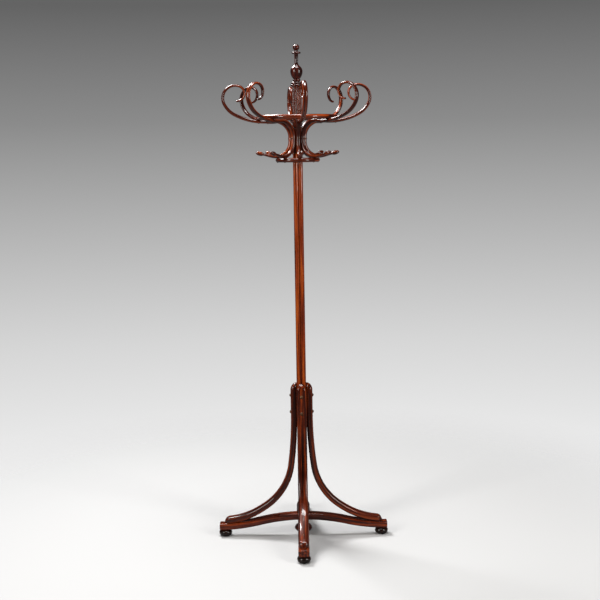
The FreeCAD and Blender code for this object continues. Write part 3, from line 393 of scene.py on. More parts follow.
def latheOutline(corners):
    # a corner is (radius, height) where a straight line follows, or (radius, height, round, side)
    # where an arc follows: side 1 bulges outwards, -1 is hollow
    spots = []
    for corner, following in zip(corners, corners[1:]):
        begin, end = Vector(corner[:2]), Vector(following[:2])
        if len(corner) == 2:
            spots.append(tuple(begin))
            continue
        chord = end - begin
        rise = math.sqrt(max(corner[2] ** 2 - (chord.length / 2) ** 2, 0.0))
        left = Vector((-chord.y, chord.x)).normalized()
        centre = (begin + end) / 2 + left * rise * corner[3]
        first = math.atan2(begin.y - centre.y, begin.x - centre.x)
        last = math.atan2(end.y - centre.y, end.x - centre.x)
        swing = (last - first + math.pi) % (2 * math.pi) - math.pi
        parts = max(3, math.ceil(abs(swing) * corner[2] / turning["stride"]))
        for part in range(parts):
            turn = first + swing * part / parts
            spot = centre + Vector((math.cos(turn), math.sin(turn))) * corner[2]
            spots.append(tuple(spot))
    spots.append(tuple(corners[-1][:2]))
    return spots


def lathePiece(name, corners, finish, sides=turning["sides"]):
    points, rings = [], []
    for radius, height in latheOutline(corners):
        if radius < 0.01:
            rings.append([len(points)])
            points.append(Vector((0, 0, height)))
            continue
        rings.append(list(range(len(points), len(points) + sides)))
        for side in range(sides):
            turn = 2 * math.pi * side / sides
            points.append(Vector((radius * math.cos(turn), radius * math.sin(turn), height)))
    faces = wallFaces(rings)
    for ring, turned in ((rings[0], True), (rings[-1], False)):
        if len(ring) > 1:
            faces.append(tuple(reversed(ring)) if turned else tuple(ring))
    piece = makePiece(name, points, faces, None, finish)
    keepEdges(piece)
    return piece


def keepEdges(piece):
    # creases stay crisp, with a hair of rounding to catch the light
    bevel = piece.modifiers.new("eased", "BEVEL")
    bevel.width = turning["edgeRound"] * mm
    bevel.segments = 2
    bevel.limit_method = "ANGLE"
    bevel.angle_limit = math.radians(turning["creaseAngle"])
    settle(piece)


def settle(piece):
    # what the modifiers make becomes the piece's own mesh
    evaluated = piece.evaluated_get(bpy.context.evaluated_depsgraph_get())
    mesh = bpy.data.meshes.new_from_object(evaluated)
    piece.modifiers.clear()
    piece.data = mesh
    return piece


# Geometry node trees for what repeats about the pole.

def newTree(name, sockets):
    tree = bpy.data.node_groups.new(name, "GeometryNodeTree")
    tree.interface.new_socket("Geometry", in_out="INPUT", socket_type="NodeSocketGeometry")
    for title, kind in sockets:
        tree.interface.new_socket(title, in_out="INPUT", socket_type=kind)
    tree.interface.new_socket("Geometry", in_out="OUTPUT", socket_type="NodeSocketGeometry")
    return tree, addNode(tree, "NodeGroupInput").outputs


def spreadTree():
    # turns copies of a piece about the pole, each with its own stretch of grain
    tree, given = newTree("spreadAboutPole", [
        ("Unit", "NodeSocketObject"), ("Count", "NodeSocketInt"), ("First turn", "NodeSocketFloat"),
        ("Reach", "NodeSocketFloat"), ("Seed", "NodeSocketInt"), ("Finish", "NodeSocketMaterial"),
    ])
    unit = addNode(tree, "GeometryNodeObjectInfo", {"Object": given["Unit"]}).outputs["Geometry"]
    spots = addNode(
        tree, "GeometryNodeMeshLine", {"Count": given["Count"], "Offset": (0, 0, 0)}
    ).outputs["Mesh"]
    number = addNode(tree, "GeometryNodeInputIndex").outputs[0]
    share = addNode(
        tree, "ShaderNodeMath", {0: number, 1: given["Count"]}, operation="DIVIDE"
    ).outputs[0]
    turn = addNode(
        tree, "ShaderNodeMath", {0: share, 1: 2 * math.pi, 2: given["First turn"]},
        operation="MULTIPLY_ADD",
    ).outputs[0]
    east = addNode(tree, "ShaderNodeMath", {0: turn}, operation="COSINE").outputs[0]
    north = addNode(tree, "ShaderNodeMath", {0: turn}, operation="SINE").outputs[0]
    outward = addNode(tree, "ShaderNodeCombineXYZ", {"X": east, "Y": north}).outputs[0]
    placed = addNode(
        tree, "ShaderNodeVectorMath", {0: outward, "Scale": given["Reach"]}, operation="SCALE"
    ).outputs[0]
    spots = addNode(
        tree, "GeometryNodeSetPosition", {"Geometry": spots, "Position": placed}
    ).outputs[0]
    turned = addNode(tree, "ShaderNodeCombineXYZ", {"Z": turn}).outputs[0]
    copies = addNode(
        tree, "GeometryNodeInstanceOnPoints",
        {"Points": spots, "Instance": unit, "Rotation": turned},
    ).outputs[0]
    chance = addNode(
        tree, "FunctionNodeRandomValue",
        {"Min": (-1.0, -1.0, -1.0), "Max": (1.0, 1.0, 1.0), "Seed": given["Seed"]},
        data_type="FLOAT_VECTOR",
    ).outputs[0]
    copies = addNode(
        tree, "GeometryNodeStoreNamedAttribute",
        {"Geometry": copies, "Name": "grainShift", "Value": chance},
        data_type="FLOAT_VECTOR", domain="INSTANCE",
    ).outputs[0]
    real = addNode(tree, "GeometryNodeRealizeInstances", {"Geometry": copies}).outputs[0]
    shown = addNode(
        tree, "GeometryNodeSetMaterial", {"Geometry": real, "Material": given["Finish"]}
    ).outputs[0]
    addNode(tree, "NodeGroupOutput", {"Geometry": shown})
    return tree


def ringTree():
    # a stick bent into a ring: its grain runs round, and its scarf joint lies under an arm
    tree, given = newTree("bentRing", [
        ("Radius", "NodeSocketFloat"), ("Tube", "NodeSocketFloat"), ("Height", "NodeSocketFloat"),
        ("Joint turn", "NodeSocketFloat"), ("Finish", "NodeSocketMaterial"),
    ])
    circle = addNode(
        tree, "GeometryNodeCurvePrimitiveCircle", {"Resolution": 240, "Radius": given["Radius"]}
    ).outputs[0]
    profile = addNode(
        tree, "GeometryNodeCurvePrimitiveCircle", {"Resolution": 32, "Radius": given["Tube"]}
    ).outputs[0]
    tube = addNode(
        tree, "GeometryNodeCurveToMesh", {"Curve": circle, "Profile Curve": profile}
    ).outputs[0]
    turned = addNode(tree, "ShaderNodeCombineXYZ", {"Z": given["Joint turn"]}).outputs[0]
    raised = addNode(tree, "ShaderNodeCombineXYZ", {"Z": given["Height"]}).outputs[0]
    spot = addNode(tree, "GeometryNodeInputPosition").outputs[0]
    split = addNode(tree, "ShaderNodeSeparateXYZ", {0: spot}).outputs
    bearing = addNode(
        tree, "ShaderNodeMath", {0: split[1], 1: split[0]}, operation="ARCTAN2"
    ).outputs[0]
    along = addNode(
        tree, "ShaderNodeMath", {0: bearing, 1: given["Radius"]}, operation="MULTIPLY"
    ).outputs[0]
    square = addNode(tree, "ShaderNodeMath", {0: split[0], 1: 2.0}, operation="POWER").outputs[0]
    reach = addNode(
        tree, "ShaderNodeMath", {0: split[1], 1: split[1], 2: square}, operation="MULTIPLY_ADD"
    ).outputs[0]
    reach = addNode(tree, "ShaderNodeMath", {0: reach}, operation="SQRT").outputs[0]
    grain = addNode(
        tree, "ShaderNodeCombineXYZ", {"X": reach, "Y": split[2], "Z": along}
    ).outputs[0]
    tube = addNode(
        tree, "GeometryNodeStoreNamedAttribute",
        {"Geometry": tube, "Name": "grainPlace", "Value": grain},
        data_type="FLOAT_VECTOR", domain="POINT",
    ).outputs[0]
    tube = addNode(
        tree, "GeometryNodeTransform",
        {"Geometry": tube, "Translation": raised, "Rotation": turned},
    ).outputs[0]
    tube = addNode(tree, "GeometryNodeSetShadeSmooth", {"Geometry": tube}).outputs[0]
    real = addNode(tree, "GeometryNodeRealizeInstances", {"Geometry": tube}).outputs[0]
    shown = addNode(
        tree, "GeometryNodeSetMaterial", {"Geometry": real, "Material": given["Finish"]}
    ).outputs[0]
    addNode(tree, "NodeGroupOutput", {"Geometry": shown})
    return tree


def growPiece(name, tree, amounts):
    holder = bpy.data.objects.new(name, bpy.data.meshes.new(name))
    scene.collection.objects.link(holder)
    modifier = holder.modifiers.new("grown", "NODES")
    modifier.node_group = tree
    for item in tree.interface.items_tree:
        if item.in_out == "INPUT" and item.name in amounts:
            modifier[item.identifier] = amounts[item.name]
    return settle(holder)


spreadAboutPole, bentRing = spreadTree(), ringTree()


def spread(name, unit, count, firstTurn, finish, seed=1, reach=0.0):
    piece = growPiece(name, spreadAboutPole, {
        "Unit": unit, "Count": count, "First turn": math.radians(firstTurn), "Reach": reach * mm,
        "Seed": seed, "Finish": finish,
    })
    bpy.data.objects.remove(unit)
    return piece


def settlePiece(piece, body, slot, *replaced):
    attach(piece, body)
    if replaced:
        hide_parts(*replaced)


def heightOf(node, end):
    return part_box(node)[end].z / mm


# Cross bars.

bar = {
    "reach": 351.0, "width": 44.0, "thickness": 27.0, "crownHeight": 82.5, "endHeight": 42.0,
    "archRun": 181.0,   # how far the crown's arc reaches before the ends' arcs take over
    "edgeRound": 6.0, "endRound": 3.0, "endSteps": [0.15, 0.5, 1.0, 1.6, 2.3, 3.0],
    "underLap": 0.2,   # the lower bar of the halving sits this much lower
}


def barArcs():
    slope = 2 * math.atan((bar["crownHeight"] - bar["endHeight"]) / bar["reach"])
    crown = bar["archRun"] / math.sin(slope)
    tail = (bar["reach"] - bar["archRun"]) / math.sin(slope)
    return math.degrees(slope), crown, tail


def barTopAt(reach):
    tail = barArcs()[2]
    fall = math.sqrt((tail - bar["thickness"] / 2) ** 2 - (bar["reach"] - reach) ** 2)
    return bar["endHeight"] + tail - fall


def makeCrossBar(name, node, turn, drop, seed):
    slope, crown, tail = barArcs()
    steps = [(tail, slope), (crown, -2 * slope), (tail, slope)]
    stations, joints = follow((-bar["reach"], 0, bar["endHeight"] - drop), 0.0, steps, 6.0)
    length = joints[-1][2]
    half, through = bar["width"] / 2, bar["thickness"] / 2

    def section(along):
        near = min(along, length - along, bar["endRound"])
        inset = bar["endRound"] - math.sqrt(bar["endRound"] ** 2 - (bar["endRound"] - near) ** 2)
        return roundedBar(half - inset, through - inset, inset - through, bar["edgeRound"])

    stations = closeEnds(stations, bar["endSteps"])
    unit = sweepPiece("barUnit", stations, section, bentFinish)
    turned = spread(name, unit, 1, turn, bentFinish, seed)
    settlePiece(turned, "base", "polished_beech", node)


makeCrossBar("sideCrossBar", "cross_bar_side", 0.0, bar["underLap"], seed=5)
makeCrossBar("frontRearCrossBar", "cross_bar_front_rear", -90.0, 0.0, seed=3)
print("cross bars bent")


# Legs.

leg = {
    "top": 651.0, "width": 40.0, "thickness": 26.0, "corner": 8.0, "poleWidth": 39.0,
    "headRound": 34.0, "toeRound": 24.0, "toeInset": 20.0,
    "fullness": 0.5,   # the ends' rounding starts this much outside, so it meets the sides softly
    "seat": 0.5, "crown": 2.2, "endSteps": [0.05, 0.2, 0.5, 1.0, 1.7, 2.6],
    "easing": (1540.0, 8.0), "knee": (252.0, 50.0), "foot": (303.0, 30.7),   # radius and turn
}


def legPath():
    poleSide = leg["poleWidth"] / 2 + leg["thickness"] / 2
    toeReach = bar["reach"] - leg["toeInset"]
    bends = [leg["easing"], leg["knee"], leg["foot"]]
    _, curve = follow((0, 0, 0), -90.0, bends)
    slope, bent = curve[2][1], curve[-1][0]
    run = (toeReach - poleSide - bent.x) / math.cos(slope)
    toeHeight = barTopAt(toeReach) + leg["thickness"] / 2 - leg["seat"]
    straight = leg["top"] - toeHeight + bent.z + run * math.sin(slope)
    steps = [(None, straight), bends[0], bends[1], (None, run), bends[2]]
    return follow((poleSide, 0, leg["top"]), -90.0, steps, 4.0)


def makeLegs():
    stations, joints = legPath()
    length = joints[-1][2]
    half, through = leg["width"] / 2, leg["thickness"] / 2

    def endShare(near, reach):
        return math.sqrt(max(0.0, 1 - ((reach - near) / reach) ** 2)) if near < reach else 1.0

    def section(along):
        share = min(endShare(along, leg["headRound"]), endShare(length - along, leg["toeRound"]))
        wide = min(half, (half + leg["fullness"]) * share)
        tall = min(leg["thickness"], (leg["thickness"] + leg["fullness"]) * share)
        top = max(tall, 0.4) - through
        return roundedBar(max(wide, 0.3), top, -through, leg["corner"], leg["crown"] * share)

    stations = closeEnds(stations, leg["endSteps"])
    unit = sweepPiece("legUnit", stations, section, bentFinish)
    legs = spread("bentLegs", unit, 4, -90.0, bentFinish, seed=11)
    settlePiece(legs, "base", "polished_beech", "leg_front", "leg_right", "leg_rear", "leg_left")


makeLegs()
print("legs bent")


# Pole.

pole = {
    "width": leg["poleWidth"], "lobe": 10.5, "lobeSteps": 24, "crisp": 50,
    "level": 50, "topEase": 0.6, "topShrink": 0.97,   # the top's edge is eased under the hub
    "boss": 27.0, "bossRise": 31.0, "cove": 23.0, "coveRound": 36.8, "neck": 16.0,
}


def makePole():
    # four round reeds whose arcs meet in the middle of each face
    centre = pole["width"] / 2 - pole["lobe"]
    swing = math.pi / 4 + math.asin(centre / pole["lobe"])
    outline = []
    for quarter in range(4):
        middle = math.pi / 4 + quarter * math.pi / 2
        heart = Vector((math.cos(middle), math.sin(middle))) * centre * math.sqrt(2)
        for step in range(pole["lobeSteps"]):
            turn = middle - swing + 2 * swing * step / pole["lobeSteps"]
            spot = heart + Vector((math.cos(turn), math.sin(turn))) * pole["lobe"]
            outline.append((spot.x, spot.y))
    seat, top = heightOf("pole", 0), heightOf("pole", 1)
    levels = [seat]
    while levels[-1] < top - 1.2 * pole["level"]:
        levels.append(levels[-1] + pole["level"])
    levels += [top - pole["topEase"], top]
    points = []
    for level in levels:
        shrink = pole["topShrink"] if level == top else 1.0
        points += [Vector((x * shrink, y * shrink, level)) for x, y in outline]
    sides = len(outline)
    rings = [list(range(ring * sides, (ring + 1) * sides)) for ring in range(len(levels))]
    faces = wallFaces(rings) + [tuple(reversed(rings[0])), tuple(rings[-1])]
    reeded = makePiece("reededPole", points, faces, None, poleFinish)
    reeded.modifiers.new("crisp", "EDGE_SPLIT").split_angle = math.radians(pole["crisp"])
    settlePiece(settle(reeded), "base", "polished_beech", "pole")
    shoulder = seat + pole["bossRise"]
    boss = lathePiece("poleBoss", [
        (0, seat + 0.1), (pole["boss"], seat + 0.1), (pole["boss"], shoulder, pole["coveRound"], 1),
        (pole["neck"], shoulder + pole["cove"]), (0, shoulder + pole["cove"]),
    ], turnedFinish)
    settlePiece(boss, "base", "polished_beech")


makePole()
print("pole shaped")


# Turned feet and pendant.

foot = {
    "reach": 327.0, "base": 16.0, "belly": 26.5, "bellyLow": 10.8, "bellyHigh": 18.6,
    "bellyRound": 15.0, "shoulderRound": 12.6, "neck": 15.0, "neckLow": 27.0,
    "top": 32.0,   # let into the bar above it
}
pendant = {
    "bottom": 13.5, "tip": 16.6, "lowerRound": 27.6, "belly": 37.0, "bellyHeight": 29.8,
    "upperRound": 20.3, "neck": 23.5, "shoulder": 46.0, "waist": 21.6, "top": 69.0,
}


def makeTurnedBase():
    unit = lathePiece("footUnit", [
        (0, 0), (foot["base"], 0, foot["bellyRound"], 1),
        (foot["belly"], foot["bellyLow"], foot["bellyRound"], 1),
        (foot["belly"], foot["bellyHigh"], foot["shoulderRound"], 1),
        (foot["neck"], foot["neckLow"]), (foot["neck"], foot["top"]), (0, foot["top"]),
    ], footFinish)
    feet = spread("bunFeet", unit, 4, -90.0, footFinish, seed=21, reach=foot["reach"])
    settlePiece(feet, "base", "turned_beech", "foot_front", "foot_right", "foot_rear", "foot_left")
    middle = (pendant["shoulder"] + pendant["top"]) / 2
    drop = lathePiece("turnedPendant", [
        (0, pendant["bottom"]), (pendant["tip"], pendant["bottom"], pendant["lowerRound"], 1),
        (pendant["belly"], pendant["bellyHeight"], pendant["upperRound"], 1),
        (pendant["neck"], pendant["shoulder"]), (pendant["waist"], middle),
        (pendant["neck"], pendant["top"]), (0, pendant["top"]),
    ], turnedFinish)
    settlePiece(drop, "base", "turned_beech", "base_pendant")


makeTurnedBase()
print("feet and pendant turned")


# Hub, capital and finial.

armCount = 8   # and so the hub's plain part has eight flats
hub = {
    "plainLength": 100.0, "flat": 18.85, "core": 16.5, "coreOverlap": 1.0,
    "reedCircle": 15.5, "reed": 4.0, "reeds": 14, "reedTip": 0.7, "reedShy": 0.2, "reedSides": 20,
}
capital = {
    "lower": 25.0, "lowerThick": 7.0, "lowerRound": 4.0, "waist": 20.0,
    "upper": 22.9, "upperThick": 6.7, "upperRound": 3.9, "height": 16.0,
}
finial = {
    "foot": 12.0, "footTop": 3.0, "beadTop": 14.0, "beadRound": 6.3, "cup": 14.8, "cupHeight": 15.5,
    "lowerRound": 44.6, "bulb": 24.3, "bulbHeight": 43.0, "upperRound": 24.5,
    "shoulder": 14.7, "shoulderHeight": 62.2, "cove": 19.7, "neck": 6.8, "neckHeight": 78.0,
    "neckTop": 8.0, "disc": 18.0, "discHeight": 111.5, "discThick": 6.5, "discRound": 3.4,
    "ballFoot": 7.0, "ballHeight": 136.0, "ball": 13.0,
}


def bulge(chord, radius):
    # how far an arc stands out from its chord
    return radius - math.sqrt(radius ** 2 - (chord / 2) ** 2)


def headAngle():
    # the head's turn at rest, from its first arm
    low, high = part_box("scroll_arm_1")
    return math.degrees(math.atan2(low.y + high.y, low.x + high.x))


def makeHub():
    bottom, top = heightOf("hub", 0), heightOf("hub", 1)
    reedStart = bottom + hub["plainLength"]
    corner = hub["flat"] / math.cos(math.pi / armCount)
    block = lathePiece("hubBlock", [
        (0, bottom), (corner, bottom), (corner, reedStart), (0, reedStart),
    ], postFinish, sides=armCount)
    block.data.transform(Matrix.Rotation(math.radians(headAngle()) + math.pi / armCount, 4, "Z"))
    for face in block.data.polygons:
        face.use_smooth = False
    settlePiece(block, "head", "polished_beech", "hub")
    core = lathePiece("hubCore", [
        (0, reedStart - hub["coreOverlap"]), (hub["core"], reedStart - hub["coreOverlap"]),
        (hub["core"], top), (0, top),
    ], postFinish)
    settlePiece(core, "head", "polished_beech")
    tip, reedTop = reedStart + hub["reed"] * hub["reedTip"], top - hub["reedShy"]
    unit = lathePiece("reedUnit", [
        (0, reedStart), (hub["reed"], tip), (hub["reed"], reedTop), (0, reedTop),
    ], postFinish, sides=hub["reedSides"])
    reeds = spread("hubReeds", unit, hub["reeds"], headAngle(), postFinish, 31, hub["reedCircle"])
    settlePiece(reeds, "head", "polished_beech")


def makeCapital():
    base = heightOf("capital", 0)
    lower = capital["lower"] - bulge(capital["lowerThick"], capital["lowerRound"])
    upper = capital["upper"] - bulge(capital["upperThick"], capital["upperRound"])
    upperStart = base + capital["height"] - capital["upperThick"]
    piece = lathePiece("turnedCapital", [
        (0, base), (lower, base, capital["lowerRound"], 1), (lower, base + capital["lowerThick"]),
        (capital["waist"], base + capital["lowerThick"]), (capital["waist"], upperStart),
        (upper, upperStart, capital["upperRound"], 1), (upper, base + capital["height"]),
        (0, base + capital["height"]),
    ], turnedFinish)
    settlePiece(piece, "head", "turned_beech", "capital")


def makeFinial():
    base = heightOf("capital", 1)
    edge = finial["disc"] - bulge(finial["discThick"], finial["discRound"])
    discTop = base + finial["discHeight"] + finial["discThick"]
    ballCentre = base + finial["ballHeight"]
    rise = math.sqrt(finial["ball"] ** 2 - finial["ballFoot"] ** 2)
    piece = lathePiece("turnedFinial", [
        (0, base + 0.05), (finial["foot"], base + 0.05),
        (finial["foot"], base + finial["footTop"], finial["beadRound"], 1),
        (finial["foot"], base + finial["beadTop"]),
        (finial["cup"], base + finial["cupHeight"], finial["lowerRound"], 1),
        (finial["bulb"], base + finial["bulbHeight"], finial["upperRound"], 1),
        (finial["shoulder"], base + finial["shoulderHeight"], finial["cove"], -1),
        (finial["neck"], base + finial["neckHeight"]),
        (finial["neckTop"], base + finial["discHeight"]),
        (edge, base + finial["discHeight"], finial["discRound"], 1),
        (edge, discTop), (finial["ballFoot"], discTop),
        (finial["ballFoot"], ballCentre - rise, finial["ball"], 1),
        (finial["ball"], ballCentre, finial["ball"], 1), (0, ballCentre + finial["ball"]),
    ], turnedFinish)
    settlePiece(piece, "head", "turned_beech", "finial")


makeHub()
makeCapital()
makeFinial()
print("hub, capital and finial made")


# The eight S-shaped arms.

arm = {
    "waistRadius": 27.5, "waistRise": 57.7,
    # each step is (radius, turn), or (None, length) where the stick runs straight
    "upper": [(None, 4.0), (66.5, -97.0), (250.0, 35.0), (94.0, 37.0), (50.0, 135.0),
              (30.0, 168.0)],
    "lower": [(None, 10.5), (60.0, 96.3), (150.0, 7.0), (None, 27.0)],
    # width and thickness at the start of the waist and at the end of each step
    "upperSizes": [(18.5, 18.5), (18.5, 18.5), (20.0, 13.8), (20.5, 13.2), (20.5, 12.4),
                   (16.5, 10.2), (10.0, 8.0)],
    "lowerSizes": [(18.5, 18.5), (18.5, 18.5), (15.5, 13.6), (14.0, 12.2), (9.0, 9.0)],
    "beadHalf": 17.0, "beadRadius": 8.6, "beadOverlap": 3.0, "tipRound": 0.55,
    "endSteps": [0.1, 0.4, 0.9, 1.5],
}


def makeArms():
    waist = (arm["waistRadius"], 0, heightOf("hub", 0) + arm["waistRise"])
    upper, upperJoints = follow(waist, 90.0, arm["upper"])
    lowerSteps = arm["lower"] + [(None, 2 * arm["beadHalf"] - arm["beadOverlap"])]
    lower, lowerJoints = follow(waist, -90.0, lowerSteps, 2.0)
    hookEnd, tipEnd = lowerJoints[-1][2], upperJoints[-1][2]
    beadStart = lowerJoints[-2][2] - arm["beadOverlap"]
    # one path from the bead to the scroll's tip, measured from the bead
    path = [(place, angle + math.pi, hookEnd - along) for place, angle, along in reversed(lower)]
    path += [(place, angle, hookEnd + along) for place, angle, along in upper[1:]]
    sizes = [(hookEnd - joint[2], size) for joint, size in zip(lowerJoints[:-1], arm["lowerSizes"])]
    sizes = list(reversed(sizes))
    sizes += [(hookEnd + joint[2], size) for joint, size in zip(upperJoints, arm["upperSizes"])][1:]
    length = hookEnd + tipEnd
    tipRound = arm["upperSizes"][-1][1] * arm["tipRound"]

    def section(along):
        width, thickness = smoothSteps(sizes, along)
        if along < hookEnd - beadStart:
            spot = (hookEnd - along - beadStart - arm["beadHalf"]) / arm["beadHalf"]
            bead = 2 * arm["beadRadius"] * math.sqrt(max(0.0, 1 - spot ** 2))
            neck = arm["lowerSizes"][-1][0] if along > arm["beadHalf"] else 0.2
            width = thickness = max(bead, neck)
        if along > length - tipRound:
            spot = (along - length + tipRound) / tipRound
            share = max(0.04, math.sqrt(max(0.0, 1 - spot ** 2)))
            width, thickness = width * share, thickness * share
        return oval(width, thickness)

    unit = sweepPiece("armUnit", closeEnds(path, arm["endSteps"]), section, bentFinish)
    arms = spread("scrollArms", unit, armCount, headAngle(), bentFinish, seed=41)
    names = [f"scroll_arm_{number + 1}" for number in range(armCount)]
    settlePiece(arms, "head", "polished_beech", *names)


makeArms()
print("arms bent")


# The two rings.

rings = {
    "hat_ring": {"piece": "hatRing", "radius": 154.5, "tube": 9.3},
    "tie_ring": {"piece": "tieRing", "radius": 81.0, "tube": 8.2},
}


def makeRings():
    for node, ring in rings.items():
        height = (heightOf(node, 0) + heightOf(node, 1)) / 2
        piece = growPiece(ring["piece"], bentRing, {
            "Radius": ring["radius"] * mm, "Tube": ring["tube"] * mm, "Height": height * mm,
            "Joint turn": math.radians(headAngle()) + math.pi * (1 + 2 / armCount),
            "Finish": bentFinish,
        })
        settlePiece(piece, "head", "polished_beech", node)


makeRings()
print("rings bent")


# Screws.

screws = {
    "leg": {"head": 7.0, "rise": 4.8, "slot": 1.2, "depth": 1.2},
    "toe": {"head": 5.0, "rise": 2.4, "slot": 1.2, "depth": 1.0},
    "arm": {"head": 4.5, "rise": 2.6, "slot": 1.2, "depth": 1.0, "sunk": 0.9},
}


def screwUnit(size, place, direction):
    # a slotted dome head, its foot just under the surface
    ball = (size["head"] ** 2 + size["rise"] ** 2) / (2 * size["rise"])
    unit = lathePiece("screwUnit", [
        (0, -0.6), (size["head"], -0.6), (size["head"], 0, ball, 1), (0, size["rise"]),
    ], screwFinish, sides=40)
    half, long = size["slot"] / 2, size["head"] * 1.2
    heights = (size["rise"] - size["depth"], size["rise"] + 2)
    corners = [Vector((x, y, z)) for z in heights for y in (-half, half) for x in (-long, long)]
    box = [(0, 2, 3, 1), (4, 5, 7, 6), (0, 1, 5, 4), (2, 6, 7, 3), (0, 4, 6, 2), (1, 3, 7, 5)]
    cutter = makePiece("slotCutter", corners, box)
    slot = unit.modifiers.new("slot", "BOOLEAN")
    slot.operation = "DIFFERENCE"
    slot.object = cutter
    slot.solver = "EXACT"
    settle(unit)
    bpy.data.objects.remove(cutter)
    unit.modifiers.new("crisp", "EDGE_SPLIT").split_angle = math.radians(40)
    settle(unit)
    twist = Vector(direction).to_track_quat("Z", "Y").to_matrix().to_4x4()
    unit.data.transform(Matrix.Translation(Vector(place) * mm) @ twist)
    return unit


def driveScrews(name, node, size, spots, direction, body, count, turn):
    for number, spot in enumerate(spots):
        unit = screwUnit(size, spot, direction)
        piece = spread(f"{name}{number}", unit, count, turn, screwFinish)
        settlePiece(piece, body, "screw_steel", *([node] if number == 0 else []))


def makeScrews():
    outward, upward = (1, 0, 0), (0, 0, 1)
    size = screws["leg"]
    low, high = (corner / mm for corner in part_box("leg_pole_screws"))
    reach = high.x - size["rise"]
    spots = [(reach, 0, high.z - size["head"]), (reach, 0, low.z + size["head"])]
    driveScrews("legScrews", "leg_pole_screws", size, spots, outward, "base", 4, -90.0)

    size = screws["toe"]
    low, high = (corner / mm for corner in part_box("leg_toe_screws"))
    spots = [(high.x - size["head"], 0, high.z - size["rise"])]
    driveScrews("toeScrews", "leg_toe_screws", size, spots, upward, "base", 4, -90.0)

    size = screws["arm"]
    low, high = (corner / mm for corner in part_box("arm_hub_screws"))
    reach = arm["waistRadius"] + arm["lowerSizes"][0][0] / 2 - size["sunk"]
    spots = [(reach, 0, (low.z + high.z) / 2)]
    driveScrews("armScrews", "arm_hub_screws", size, spots, outward, "head", armCount, headAngle())


makeScrews()
print("screws driven")


# Metal and hidden parts that keep the frame's own shape.

keptNodes = {
    "hat_ring_screws": screwFinish, "tie_ring_screws": screwFinish,
    "head_spindle": spindleFinish, "tie_stud": spindleFinish,
    "hub_bush": brassFinish, "thrust_washer": brassFinish,
}
for name, finish in keptNodes.items():
    for place in nodes[name].material_slots:
        place.material = finish
print("metal finished")


# Studio.

studio = {
    "backdrop": [
        # (sine of the elevation, tone): the ramp's two ends first, then what lies between
        (-0.31, "#f9f9f9"), (0.118, "#646464"), (-0.239, "#e7e7e7"), (-0.17, "#d6d6d6"),
        (-0.083, "#b8b8b8"), (0.021, "#8b8b8b"),
    ],
    "floor": "#cbcbcb", "bounce": "#7c7c7c",
    "floorFull": 0.8, "floorGone": 2.4,   # the floor fades into the backdrop between these reaches
    "floorRings": (600, 1300, 2200, 3600), "floorSides": 64,
    "cameraHeight": 1.6235, "cameraReach": 4.5988, "pitch": -7.79, "roll": -0.9, "lens": 68.094,
    "sensor": 36.0, "ambient": 0.14, "lampAim": (0, 0, 1.15),
    "lamps": [
        # place, size, power, warmth
        ((-2.4, -2.2, 2.4), (0.8, 1.8), 72, "#fffcf8"),
        ((2.5, -2.0, 2.1), (0.8, 1.7), 60, "#fffcf8"),
        ((0.1, -0.2, 3.8), (1.0, 0.8), 60, "#ffffff"),
        ((-1.2, 1.4, 3.7), (1.0, 1.0), 150, "#ffffff"),
    ],
}


def makeWorld():
    world = bpy.data.worlds.new("studioBackdrop")
    world.use_nodes = True
    tree = world.node_tree
    tree.nodes.clear()
    ray = addNode(tree, "ShaderNodeTexCoord").outputs["Generated"]
    height = addNode(tree, "ShaderNodeSeparateXYZ", {0: ray}).outputs["Z"]
    low, high = studio["backdrop"][0][0], studio["backdrop"][1][0]
    share = addNode(
        tree, "ShaderNodeMapRange", {"Value": height, "From Min": low, "From Max": high}
    ).outputs[0]
    stops = [((place - low) / (high - low), tone) for place, tone in studio["backdrop"]]
    shade = addNode(tree, "ShaderNodeValToRGB", {"Fac": share}, stops).outputs["Color"]
    seen = addNode(tree, "ShaderNodeBackground", {"Color": shade, "Strength": 1.0})
    felt = addNode(tree, "ShaderNodeBackground", {"Color": shade, "Strength": studio["ambient"]})
    kind = addNode(tree, "ShaderNodeLightPath").outputs["Is Camera Ray"]
    both = addNode(tree, "ShaderNodeMixShader", {0: kind, 1: felt.outputs[0], 2: seen.outputs[0]})
    addNode(tree, "ShaderNodeOutputWorld", {"Surface": both.outputs[0]})
    scene.world = world


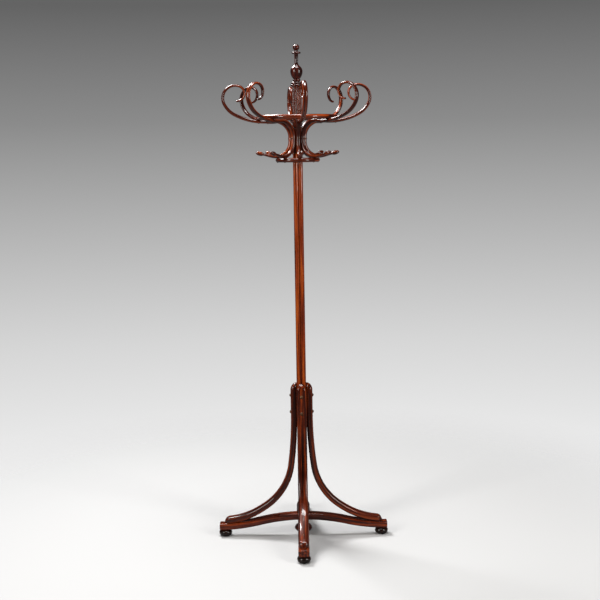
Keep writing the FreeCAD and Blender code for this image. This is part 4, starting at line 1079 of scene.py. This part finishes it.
def makeFloor():
    sides = studio["floorSides"]
    turns = [2 * math.pi * side / sides for side in range(sides)]
    points = [Vector((0, 0, 0))]
    for reach in studio["floorRings"]:
        points += [Vector((reach * math.cos(turn), reach * math.sin(turn), 0)) for turn in turns]
    faces = [(0, 1 + s, 1 + (s + 1) % sides) for s in range(sides)]
    for ring in range(len(studio["floorRings"]) - 1):
        low, high = 1 + ring * sides, 1 + (ring + 1) * sides
        faces += [
            (low + s, high + s, high + (s + 1) % sides, low + (s + 1) % sides) for s in range(sides)
        ]
    material, tree = newMaterial("paleStudioFloor")
    place = addNode(tree, "ShaderNodeTexCoord").outputs["Object"]
    reach = addNode(tree, "ShaderNodeVectorMath", {0: place}, operation="LENGTH").outputs["Value"]
    gone = addNode(
        tree, "ShaderNodeMapRange",
        {"Value": reach, "From Min": studio["floorFull"], "From Max": studio["floorGone"]},
        interpolation_type="SMOOTHSTEP",
    ).outputs[0]
    # the floor throws back less light than it shows, so undersides stay deep
    seen = addNode(tree, "ShaderNodeLightPath").outputs["Is Camera Ray"]
    tone = addNode(
        tree, "ShaderNodeMix",
        {"Factor": seen, "A": linearColour(studio["bounce"]), "B": linearColour(studio["floor"])},
        data_type="RGBA",
    ).outputs["Result"]
    paint = addNode(
        tree, "ShaderNodeBsdfPrincipled",
        {"Base Color": tone, "Roughness": 0.6, "Specular IOR Level": 0.2},
    ).outputs[0]
    clear = addNode(tree, "ShaderNodeBsdfTransparent").outputs[0]
    both = addNode(tree, "ShaderNodeMixShader", {0: gone, 1: paint, 2: clear}).outputs[0]
    addNode(tree, "ShaderNodeOutputMaterial", {"Surface": both})
    floor = makePiece("studioFloor", points, faces, None, material)


def makeLamps():
    for number, (place, size, power, warmth) in enumerate(studio["lamps"]):
        lamp = bpy.data.lights.new(f"softbox{number + 1}", "AREA")
        lamp.shape = "RECTANGLE"
        lamp.size, lamp.size_y = size
        lamp.energy = power
        lamp.color = linearColour(warmth)[:3]
        holder = bpy.data.objects.new(lamp.name, lamp)
        holder.location = place
        aim = Vector(studio["lampAim"]) - Vector(place)
        holder.rotation_euler = aim.to_track_quat("-Z", "Y").to_euler()
        scene.collection.objects.link(holder)


def makeCamera():
    camera = bpy.data.cameras.new("studioCamera")
    camera.lens = studio["lens"]
    camera.sensor_width = studio["sensor"]
    holder = bpy.data.objects.new("studioCamera", camera)
    turn = Matrix.Rotation(math.radians(90 + studio["pitch"]), 4, "X")
    roll = Matrix.Rotation(math.radians(studio["roll"]), 4, "Z")
    spot = Matrix.Translation((0, -studio["cameraReach"], studio["cameraHeight"]))
    holder.matrix_world = spot @ turn @ roll
    scene.collection.objects.link(holder)
    scene.camera = holder


makeWorld()
makeFloor()
makeLamps()
makeCamera()
scene.view_settings.view_transform = "Standard"
print("studio lit")
